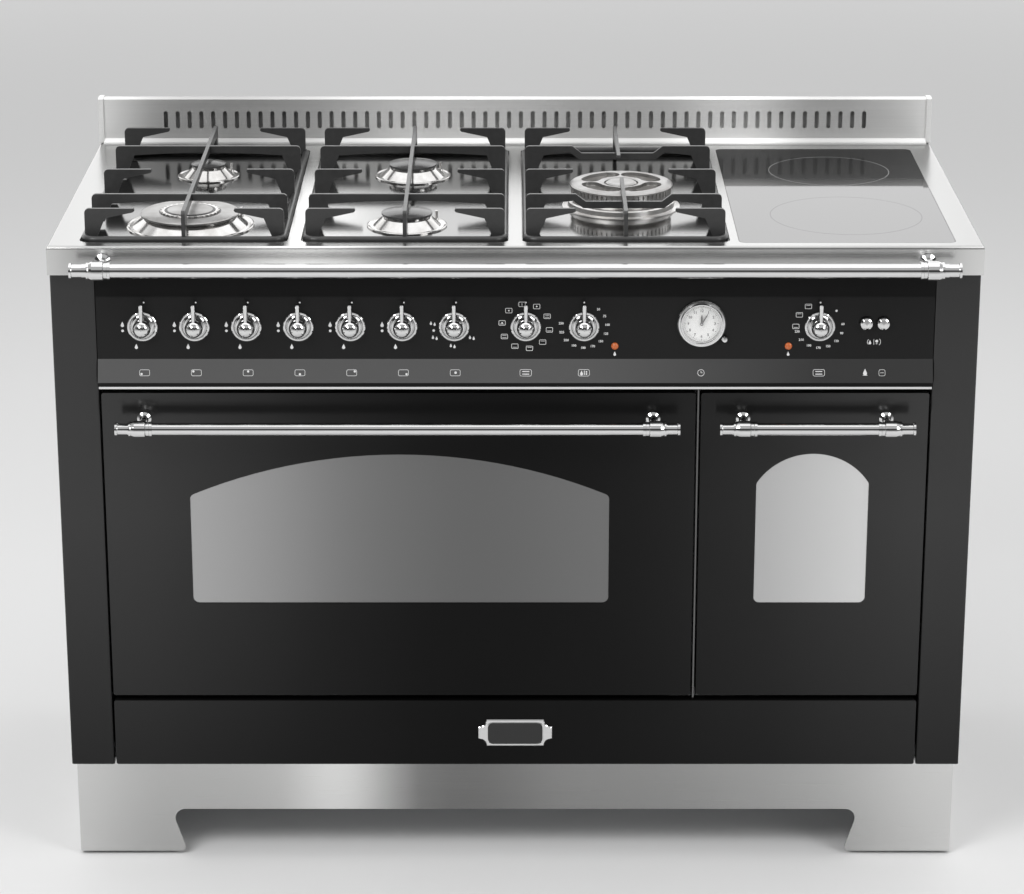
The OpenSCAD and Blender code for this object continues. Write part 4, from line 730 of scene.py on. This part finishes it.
heatMarks = {
    # joint: the angles of the first and the last number, and the degrees
    "oven_heat_knob_turn": (52, -188, (50, 75, 100, 125, 150, 170, 180, 190, 200, 225, 250)),
    "small_oven_knob_turn": (6, -166, (60, 90, 120, 150, 170, 190, 210, 230)),
}
for joint, (first, last, heats) in heatMarks.items():
    flat = [dot(0, markSizes["top"])]
    for heat, angle in zip(heats, np.linspace(first, last, len(heats))):
        number = lettering(str(heat), markSizes["numeral"], ink)
        flat.append(moved(number, *onOval(angle, markSizes["heatRing"])))
    if joint == "small_oven_knob_turn":
        flat.append(dot(21 * mm, 21 * mm, 1.5 * mm))
        lift = markSizes["wayLift"]
        for angle, up in ((120, lift), (150, lift), (180, -lift)):
            u, v = onOval(angle, markSizes["smallRing"])
            flat.append(iconBox(u, v, *markSizes["way"]))
            flat.append(bar(u, v + up, *markSizes["wayBar"]))
    marks.append(upright(joined(flat), *placeBy(joint)))

# under the two buttons: lamp and spark signs between brackets
x = (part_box("left_button")[0].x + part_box("right_button")[1].x) / 2
flat = [band(arc((-4.6 * mm, 0), 4.2 * mm, 130, 230, 7), 0.6 * mm, ink, False)]
flat += signs([(drop, -5.4, -1.6, 4.2), (bar, -0.4, 0, 0.6, 7.5), (dot, 3.4, 1, 1.9),
               (bar, 3.4, -2.4, 2, 0.8)])
flat.append(band(arc((2.4 * mm, 0), 6.0 * mm, -45, 45, 7), 0.6 * mm, ink, False))
marks.append(upright(joined(flat), x, middle("left_button")[2] - markSizes["underButtons"]))

# a white drop under each lamp
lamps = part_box("indicator_lamps")
for x in (lamps[0].x + markSizes["lampInset"], lamps[1].x - markSizes["lampInset"]):
    marks.append(upright(joined(signs([(drop, 0, -11.5, 4.2)])), x, middle("indicator_lamps")[2]))

# the sloping strip's row of signs; its slope is read from the panel's box
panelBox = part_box("control_panel")
slopeOut = faceY - panelBox[0].y
slopeUp = stripLook["high"]
slopeLength = math.hypot(slopeOut, slopeUp)


def onSlope(part, x, share):
    # up runs along the slope from its lower edge, and out is square to it
    points, faces = part
    u, v, out = np.asarray(points, float).T
    rise = share * slopeLength + v
    y = faceY - slopeOut + rise * slopeOut / slopeLength - out * slopeUp / slopeLength
    z = panelBox[0].z + rise * slopeUp / slopeLength + out * slopeOut / slopeLength
    return np.column_stack([x + u, y, z]), faces


zoneDots = [(-4.0, -1.6, 1.5), (-4.0, 1.8, 1.5), (0.0, 1.8, 1.5), (0.0, -1.8, 1.5), (4.0, 1.8, 1.5),
            (4.0, -1.8, 1.5), (0.5, 0.2, 1.7)]
for joint, (u, v, size) in zip(gasKnobs + ["glass_zone_knob_turn"], zoneDots):
    flat = signs([(iconBox, 0, 0, 13.5, 8.4), (dot, u, v, size)])
    marks.append(onSlope(joined(flat), placeBy(joint)[0] + 1.2 * mm, 0.50))
for joint in ("oven_function_knob_turn", "small_oven_knob_turn"):
    flat = signs([(iconBox, 0, 0, 15.5, 9), (bar, 0, 1.7, 9, 1.1), (bar, 0, -1.7, 9, 1.1)])
    marks.append(onSlope(joined(flat), placeBy(joint)[0], 0.50))
flat = signs([(iconBox, 0, 0, 15, 9), (drop, -3, -1.6, 4.6), (bar, 0.6, 0, 1.0, 5.5),
              (dot, 3.4, 1.2, 1.1), (dot, 3.4, -1.6, 1.1)])
marks.append(onSlope(joined(flat), placeBy("oven_heat_knob_turn")[0], 0.50))
flat = [band(arc((0, 0), 4.2 * mm, 0, 345, 24), 0.6 * mm, ink)]
flat += signs([(bar, 0, 1.2, 0.6, 3), (bar, 1, 0, 2.4, 0.6)])
marks.append(onSlope(joined(flat), placeBy("clock_minute_turn")[0], 0.50))
flat = signs([(drop, 0, -1.5, 6), (bar, 0, -4.0, 6, 0.6)])
marks.append(onSlope(joined(flat), middle("left_button")[0], 0.52))
flat = signs([(iconBox, 0, 0, 8.5, 8.5, 0.5, 2), (bar, 0, 0, 4.4, 0.6)])
marks.append(onSlope(joined(flat), middle("right_button")[0], 0.50))
newPiece("panelMarks", joined(marks), "print", "body")
print("panel marks:", len(marks), "groups")


# clock dial

clockX, clockZ = placeBy("clock_minute_turn")
dialLook = {"radius": 24.2 * mm, "hub": 1.0 * mm, "out": 1.56 * mm, "foot": 1.4 * mm, "proud": 0.02 * mm,
            "numeralRing": 17.2 * mm, "numeral": 5.0 * mm, "tickRing": 22.6 * mm,
            "hourTick": (2.4 * mm, 0.6 * mm), "minuteTick": (1.2 * mm, 0.3 * mm)}
dialEdge = [(0, dialLook["out"]), (dialLook["hub"], dialLook["out"]), (dialLook["radius"], dialLook["out"]),
            (dialLook["radius"], dialLook["foot"]), (0, dialLook["foot"])]
newPiece("clockDial", turned(dialEdge, (clockX, faceY, clockZ), 64), "dial", "body")
ticks = []
for minute in range(60):
    a = math.radians(minute * 6)
    long, wide = dialLook["minuteTick"] if minute % 5 else dialLook["hourTick"]
    r = dialLook["tickRing"] - long / 2
    ticks.append(moved(bar(0, 0, wide, long), r * math.sin(a), r * math.cos(a), -minute * 6))
for hour in range(1, 13):
    a, r = math.radians(hour * 30), dialLook["numeralRing"]
    ticks.append(moved(lettering(str(hour), dialLook["numeral"], ink), r * math.sin(a), r * math.cos(a)))
dialFront = faceY - dialLook["out"] - dialLook["proud"]
newPiece("dialNumbers", upright(joined(ticks), clockX, clockZ, dialFront), "darkPrint", "body")
print("clock dial")


# bare name plate

plateLook = {"half": 49.5 * mm, "straight": 38.7 * mm, "tall": 19.3 * mm, "tab": 9.0 * mm,
             "thick": 2.6 * mm, "bevel": 1.4 * mm, "fieldHalf": 36.8 * mm, "fieldTall": 15.0 * mm,
             "corner": 7.0 * mm, "sunk": 0.4 * mm, "proud": 0.12 * mm, "beadGap": 1.2 * mm,
             "beadCorner": 7.4 * mm, "beadWide": 0.7 * mm, "beadHigh": 0.6 * mm}


def plateOutline(p, shrink=0.0):
    # straight top and bottom, hollow shoulders, and a tab at each end; clockwise from the upper left
    h, s, t, b = p["half"] - shrink, p["straight"] - shrink * 0.5, p["tall"] - shrink, p["tab"] - shrink * 0.5
    turn = np.radians(np.linspace(0, 90, 7))
    shoulder = np.column_stack([s + (h - s) * 0.86 * (1 - np.cos(turn)), t - (t - b) * np.sin(turn)])
    right = np.vstack([shoulder, [(h, b * 0.9), (h, -b * 0.9)], shoulder[::-1] * [1, -1]])
    return np.vstack([right, -right])


plateZ = middle("drawer_front")[2]
outer = plateOutline(plateLook)
inner = plateOutline(plateLook, plateLook["bevel"])
rings = np.vstack([np.column_stack([outer, np.full(len(outer), 0.0)]),
                   np.column_stack([outer, np.full(len(outer), plateLook["thick"] * 0.6)]),
                   np.column_stack([inner, np.full(len(inner), plateLook["thick"])])])
count = len(outer)
plateFaces = gridFaces(3, count, False, True) + [list(range(count)), list(range(2 * count, 3 * count))]
newPiece("namePlate", upright((rings, plateFaces), 0, plateZ), "chrome", "drawer", 25)
fieldWide, fieldTall, thick = 2 * plateLook["fieldHalf"], 2 * plateLook["fieldTall"], plateLook["thick"]
field = prism(roundedBox(fieldWide, fieldTall, plateLook["corner"]),
              thick - plateLook["sunk"], thick + plateLook["proud"])
newPiece("namePlateField", upright(field, 0, plateZ), "field", "drawer")
edge = roundedBox(fieldWide + plateLook["beadGap"], fieldTall + plateLook["beadGap"], plateLook["beadCorner"])
bead = [(plateLook["beadWide"] * math.cos(a), thick + plateLook["beadHigh"] * math.sin(a))
        for a in np.linspace(0, 2 * np.pi, 8, endpoint=False)]
newPiece("namePlateBead", upright(carried(edge, bead), 0, plateZ), "chrome", "drawer")
print("bare name plate")


# glass zone rings

# each ring's place behind the front lip and its radius, then its line, height and place beside the middle
zoneLook = {"rear": (409 * mm, 83.5 * mm), "front": (160 * mm, 100 * mm), "line": 1.3 * mm,
            "high": 0.03 * mm, "beside": 11 * mm}
zoneX = middle("ceramic_glass")[0] + zoneLook["beside"]
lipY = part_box("hob_top")[0].y


def lying(part, x, y, z):
    # a part drawn in (across, back, up), shifted to (x, y, z)
    points, faces = part
    u, v, out = np.asarray(points, float).T
    return np.column_stack([x + u, y + v, z + out]), faces


for side in ("rear", "front"):
    depth, radius = zoneLook[side]
    ring = lying(band(arc((0, 0), radius, 0, 357, 120), zoneLook["line"], zoneLook["high"]),
                 zoneX, lipY + depth, hobZ)
    newPiece(side + "ZoneRing", ring, side + "Zone", "body")
print("zone rings")

crownLook = {"inner": 0.50, "outer": 0.60, "deep": 2.8 * mm, "down": 0.7 * mm, "teeth": 30, "notch": 2.4 * mm}


def toothedRing(box, look):
    # rings of points (cos a, sin a) r at four corners of a square profile; the outer radius steps in by
    # the notch wherever the tooth wave sin(teeth a) is below 0
    low, high = box
    half = (high.x - low.x) / 2
    a = np.linspace(0, 2 * np.pi, look["teeth"] * 8, endpoint=False)
    outer = look["outer"] * half - look["notch"] * (np.sin(look["teeth"] * a) < 0)
    inner = np.full_like(a, look["inner"] * half)
    top, foot = high.z - look["down"], high.z - look["deep"]
    rows = [(inner, foot), (inner, top), (outer, top), (outer, foot)]
    points = np.stack([np.stack([r * np.cos(a), r * np.sin(a), z + 0 * a], -1) for r, z in rows])
    points = points.reshape(-1, 3) + np.array([(low.x + high.x) / 2, (low.y + high.y) / 2, 0])
    return points, gridFaces(4, len(a), True, True)


newPiece("rapidInnerCrown", toothedRing(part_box("rapid_cap"), crownLook), "satin", "body")
print("rapid burner's inner crown")

# inside the ovens: a wire fan guard with a dark disc of painted shade behind it and a lamp on the rear wall,
# and a grill element under the roof
insideLook = {"rear": 217.2 * mm, "floor": 289 * mm, "high": 350 * mm, "fanUp": 176 * mm, "wire": 1.1 * mm,
              "fanRings": (14, 27, 40, 53, 66, 79, 92), "spokes": 8, "tube": 3.4 * mm, "down": 4.6 * mm,
              "runs": {"main": 8, "small": 4}, "reach": {"main": 236 * mm, "small": 74 * mm},
              "front": -150 * mm, "clear": 16 * mm, "tail": 1 * mm, "fanOut": 2 * mm, "shadeDisc": 78 * mm,
              "shadeDiscDeep": 1.9 * mm, "lampX": -238 * mm, "lampUp": 268 * mm}
lensEdge = [(0, 0), (21 * mm, 0), (21 * mm, 2 * mm), (17 * mm, 3 * mm), (15 * mm, 3 * mm),
            (10 * mm, 4.4 * mm), (0, 5 * mm)]


def tube(path, r, sides=10):
    # rings of points: each is path + r (cos b side + sin b up), where side is level and square to the path
    path = np.asarray(path, float)
    ahead = np.gradient(path, axis=0)
    ahead /= np.linalg.norm(ahead, axis=1)[:, None]
    up = np.where(np.abs(ahead[:, 2:]) > 0.9, [0.0, 1.0, 0.0], [0.0, 0.0, 1.0])
    side = np.cross(ahead, up)
    side /= np.linalg.norm(side, axis=1)[:, None]
    up = np.cross(side, ahead)
    b = np.linspace(0, 2 * np.pi, sides, endpoint=False)[None, :, None]
    rings = path[:, None] + r * (np.cos(b) * side[:, None] + np.sin(b) * up[:, None])
    points = np.vstack([rings.reshape(-1, 3), path[0], path[-1]])
    count = len(path) * sides
    faces = gridFaces(len(path), sides, False, True)
    faces += [[count, (i + 1) % sides, i] for i in range(sides)]
    last = count - sides
    faces += [[count + 1, last + i, last + (i + 1) % sides] for i in range(sides)]
    return points, faces


def beadRing(r, wire, centre):
    # a ring of round wire: a small circle of profile points turned about the axis along Y
    b = np.linspace(0, 2 * np.pi, 9)
    return turned(np.stack([r + wire * np.cos(b), wire * np.sin(b)], -1), centre, 64)


def grillElement(mid, look, side):
    # a level tube that runs to and fro: straight runs joined by half circles of half their spacing
    n, half = look["runs"][side], look["reach"][side]
    gap = 2 * half / (n - 1)
    z = look["floor"] + look["high"] - look["down"]
    front, rear = look["front"] + gap / 2, look["rear"] - look["clear"] - gap / 2
    t = np.linspace(0, np.pi, 9)
    route = [np.array([[mid - half, look["rear"] - look["tail"]]])]
    for i in range(n):
        x, forward = mid - half + i * gap, i % 2 == 0
        ends = [rear, front] if forward else [front, rear]
        route.append(np.stack([np.full(6, x), np.linspace(ends[0], ends[1], 6)], -1))
        if i < n - 1:
            bow = (-1 if forward else 1) * np.sin(t) * gap / 2
            route.append(np.stack([x + gap / 2 - np.cos(t) * gap / 2, ends[1] + bow], -1)[1:-1])
    if n % 2 == 0:
        route.append(np.array([[mid + half, look["rear"] - look["tail"]]]))
    flat = np.vstack(route)
    return tube(np.column_stack([flat, np.full(len(flat), z)]), look["tube"])


ovenMid = {side: middle(side + "_oven_cavity")[0] for side in ("main", "small")}
for side, mid in ovenMid.items():
    newPiece(side + "GrillElement", grillElement(mid, insideLook, side), "element", "body")
rear, floorZ = insideLook["rear"], insideLook["floor"]
fan = np.array([ovenMid["main"], rear - insideLook["fanOut"], floorZ + insideLook["fanUp"]])
rings = insideLook["fanRings"]
wires = [beadRing(r * mm, insideLook["wire"], fan) for r in rings]
for k in range(insideLook["spokes"]):
    turn = 2 * math.pi * (k + 0.5) / insideLook["spokes"]
    out = np.array([math.cos(turn), 0, math.sin(turn)])
    spoke = [fan + out * r * mm + [0, 1.0 * mm, 0] for r in np.linspace(rings[0], rings[-1], 5)]
    wires.append(tube(spoke, insideLook["wire"], 8))
newPiece("fanGuard", joined(wires), "chrome", "body")
# painted shade: a dark disc behind the fan guard stands for the shade inside the fan opening
shadeDiscEdge = [(0, 0.4 * mm), (insideLook["shadeDisc"], 0.4 * mm), (insideLook["shadeDisc"], 0), (0, 0)]
newPiece("fanShadeDisc", turned(shadeDiscEdge, fan + [0, insideLook["shadeDiscDeep"], 0], 64), "hand", "body")
lamp = np.array([ovenMid["main"] + insideLook["lampX"], rear, floorZ + insideLook["lampUp"]])
newPiece("ovenLampLens", turned(lensEdge, lamp, 40), "lens", "body")
print("oven fittings")


# seals and screws

sealLook = {"radius": 2.7 * mm, "out": 9 * mm, "mouth": {"main": 660 * mm, "small": 216 * mm},
            "tall": 350 * mm, "corner": 30 * mm, "sill": 40 * mm, "proud": 0.2 * mm}


def mouthSeal(side):
    # a round cord carried along a rounded box just outside the oven's mouth
    pane = windowBox[side]
    width, tall = sealLook["mouth"][side] + 2 * sealLook["out"], sealLook["tall"] + 2 * sealLook["out"]
    path = roundedBox(width, tall, sealLook["corner"], steps=9)
    r = sealLook["radius"]
    section = [(r * math.cos(a), r * math.sin(a)) for a in np.linspace(0, 2 * np.pi, 10, endpoint=False)]
    midX = (pane[0].x + pane[1].x) / 2
    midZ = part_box("main_door_liner")[0].z + sealLook["sill"] + sealLook["tall"] / 2
    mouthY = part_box(side + "_oven_cavity")[0].y
    return upright(carried(path, section), midX, midZ, mouthY - r + sealLook["proud"])


for side in ("main", "small"):
    newPiece(side + "OvenSeal", mouthSeal(side), "rubber", "body")


def screwHead(r):
    # a shallow dome with a hex socket, as rows of (radius, height)
    return [(0, 0.25 * r), (0.42 * r, 0.25 * r), (0.46 * r, 0.62 * r), (0.7 * r, 0.55 * r),
            (0.93 * r, 0.3 * r), (r, 0.02 * r), (r, -0.1 * r), (0, -0.1 * r)]


def screws(spots, r, towards):
    # the same head at each spot, facing -Y or +Y
    head, faces = turned(screwHead(r), (0, 0, 0), 18)
    head = head * [1, towards, 1]
    return joined([(head + spot, faces) for spot in np.asarray(spots, float)])


screwLook = {"radius": 4.2 * mm, "fromSide": 14 * mm, "fromEnd": 16 * mm, "columns": 7, "rows": 5}
low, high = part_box("back_panel")
xs = np.linspace(low.x + screwLook["fromSide"], high.x - screwLook["fromSide"], screwLook["columns"])
zs = np.linspace(low.z + screwLook["fromEnd"], high.z - screwLook["fromEnd"], screwLook["rows"])
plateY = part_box("base_pan")[1].y
spots = [(x, plateY, z) for x in xs for z in (zs[0], zs[-1])]
spots += [(x, plateY, z) for x in (xs[0], xs[-1]) for z in zs[1:-1]]
newPiece("backScrews", screws(spots, screwLook["radius"], -1), "zinc", "body")
print("seals and screws")


# stage, lights and camera

stageLook = {"floor": 0.80, "darker": 0.985, "rough": 0.75, "half": 60.0, "near": 2.6, "far": 11.0}
# what the room shows to matt surfaces, to mirrors in front of and behind them, and to the camera, and how
# much darker a mirror in front finds the room low down
roomLook = {"diffuse": 0.50, "mirrorFront": 0.60, "mirrorBack": 1.8, "camera": 0.86, "lowDark": 0.54}
h = stageLook["half"]
floorMesh = bpy.data.meshes.new("floor")
floorMesh.from_pydata([(-h, -h, 0), (h, -h, 0), (h, h, 0), (-h, h, 0)], [], [(0, 1, 2, 3)])
paleFloor = Paint("paleFloor")
cloud = paleFloor.noise(0.6, 2.0)
# far off, the camera sees the floor pass into the pale room behind it, so that no horizon shows
reach = paleFloor.node("ShaderNodeVectorMath", {"operation": "LENGTH"}, {0: paleFloor.place()}, out="Value")
share = paleFloor.clamped((reach - stageLook["near"]) / (stageLook["far"] - stageLook["near"]))
share = share * share * (3 - 2 * share) * paleFloor.node("ShaderNodeLightPath", out="Is Camera Ray")
haze = paleFloor.node("ShaderNodeEmission", None, {"Color": grey(roomLook["camera"])})
tone = paleFloor.mixed(cloud, grey(stageLook["floor"] * stageLook["darker"]), grey(stageLook["floor"]))
paleFloor.surface(baseColor=tone, roughness=stageLook["rough"] + 0.1 * cloud, cover=(share, haze))
floorMesh.materials.append(paleFloor.material)
floor = bpy.data.objects.new("floor", floorMesh)
bpy.context.scene.collection.objects.link(floor)

lightPlan = {
    # name: place, aim, width, height, power
    "keySoftbox": ((-2.4, -3.0, 3.4), (0, 0, 0.5), 2.2, 1.6, 95),
    "fillSoftbox": ((2.8, -2.4, 2.4), (0, 0, 0.6), 1.4, 2.0, 42),
    "topSoftbox": ((0.0, 0.3, 3.6), (0, 0, 0.9), 5.0, 3.6, 62),
}


def aimed(piece, place, aim):
    # turned so that its -Z looks from place to aim
    piece.location = place
    piece.rotation_euler = (Vector(aim) - Vector(place)).to_track_quat("-Z", "Y").to_euler()


for name, (place, aim, width, height, power) in lightPlan.items():
    lamp = bpy.data.lights.new(name, "AREA")
    lamp.shape, lamp.size, lamp.size_y, lamp.energy = "RECTANGLE", width, height, power
    holder = bpy.data.objects.new(name, lamp)
    bpy.context.scene.collection.objects.link(holder)
    aimed(holder, place, aim)

world = bpy.data.worlds.new("studio")
bpy.context.scene.world = world
world.use_nodes = True
room = Paint("studio", world.node_tree)
direction = room.node("ShaderNodeTexCoord", out="Generated")
split = room.node("ShaderNodeSeparateXYZ", None, {0: direction})
dirY, dirZ = [Field(room, end) for end in split.socket.node.outputs[1:]]
behind = room.clamped((dirY - 0.1) * 2.5) * room.clamped((0.75 - dirZ) * 3.0)
ahead = room.clamped((0.0 - dirY) * 2.5)
lowBand = room.clamped((dirZ + 0.02) * 16.0) * room.clamped((0.50 - dirZ) * 10.0)
mirror = roomLook["mirrorFront"] + (roomLook["mirrorBack"] - roomLook["mirrorFront"]) * behind
mirror = mirror - roomLook["lowDark"] * lowBand * ahead
seen = {name: room.node("ShaderNodeLightPath", out=name) for name in ("Is Camera Ray", "Is Glossy Ray")}
level = (roomLook["camera"] * seen["Is Camera Ray"] + mirror * seen["Is Glossy Ray"]
         + roomLook["diffuse"] * (1 - seen["Is Camera Ray"]) * (1 - seen["Is Glossy Ray"]))
glow = room.node("ShaderNodeBackground", None, {"Color": (1, 1, 1, 1), "Strength": level})
room.node("ShaderNodeOutputWorld", None, {"Surface": glow})

cameraLook = {"place": (-0.0043, -4.30, 1.95), "pitch": 18.46, "focalPixels": 3258.4, "width": 1024,
              "sensor": 36.0}
lens = bpy.data.cameras.new("camera")
lens.sensor_width = cameraLook["sensor"]
lens.lens = cameraLook["focalPixels"] / cameraLook["width"] * lens.sensor_width
viewer = bpy.data.objects.new("camera", lens)
bpy.context.scene.collection.objects.link(viewer)
viewer.location = cameraLook["place"]
viewer.rotation_euler = (math.radians(90 - cameraLook["pitch"]), 0, 0)
bpy.context.scene.camera = viewer
bpy.context.scene.view_settings.view_transform = "Standard"
print("stage, lights and camera")
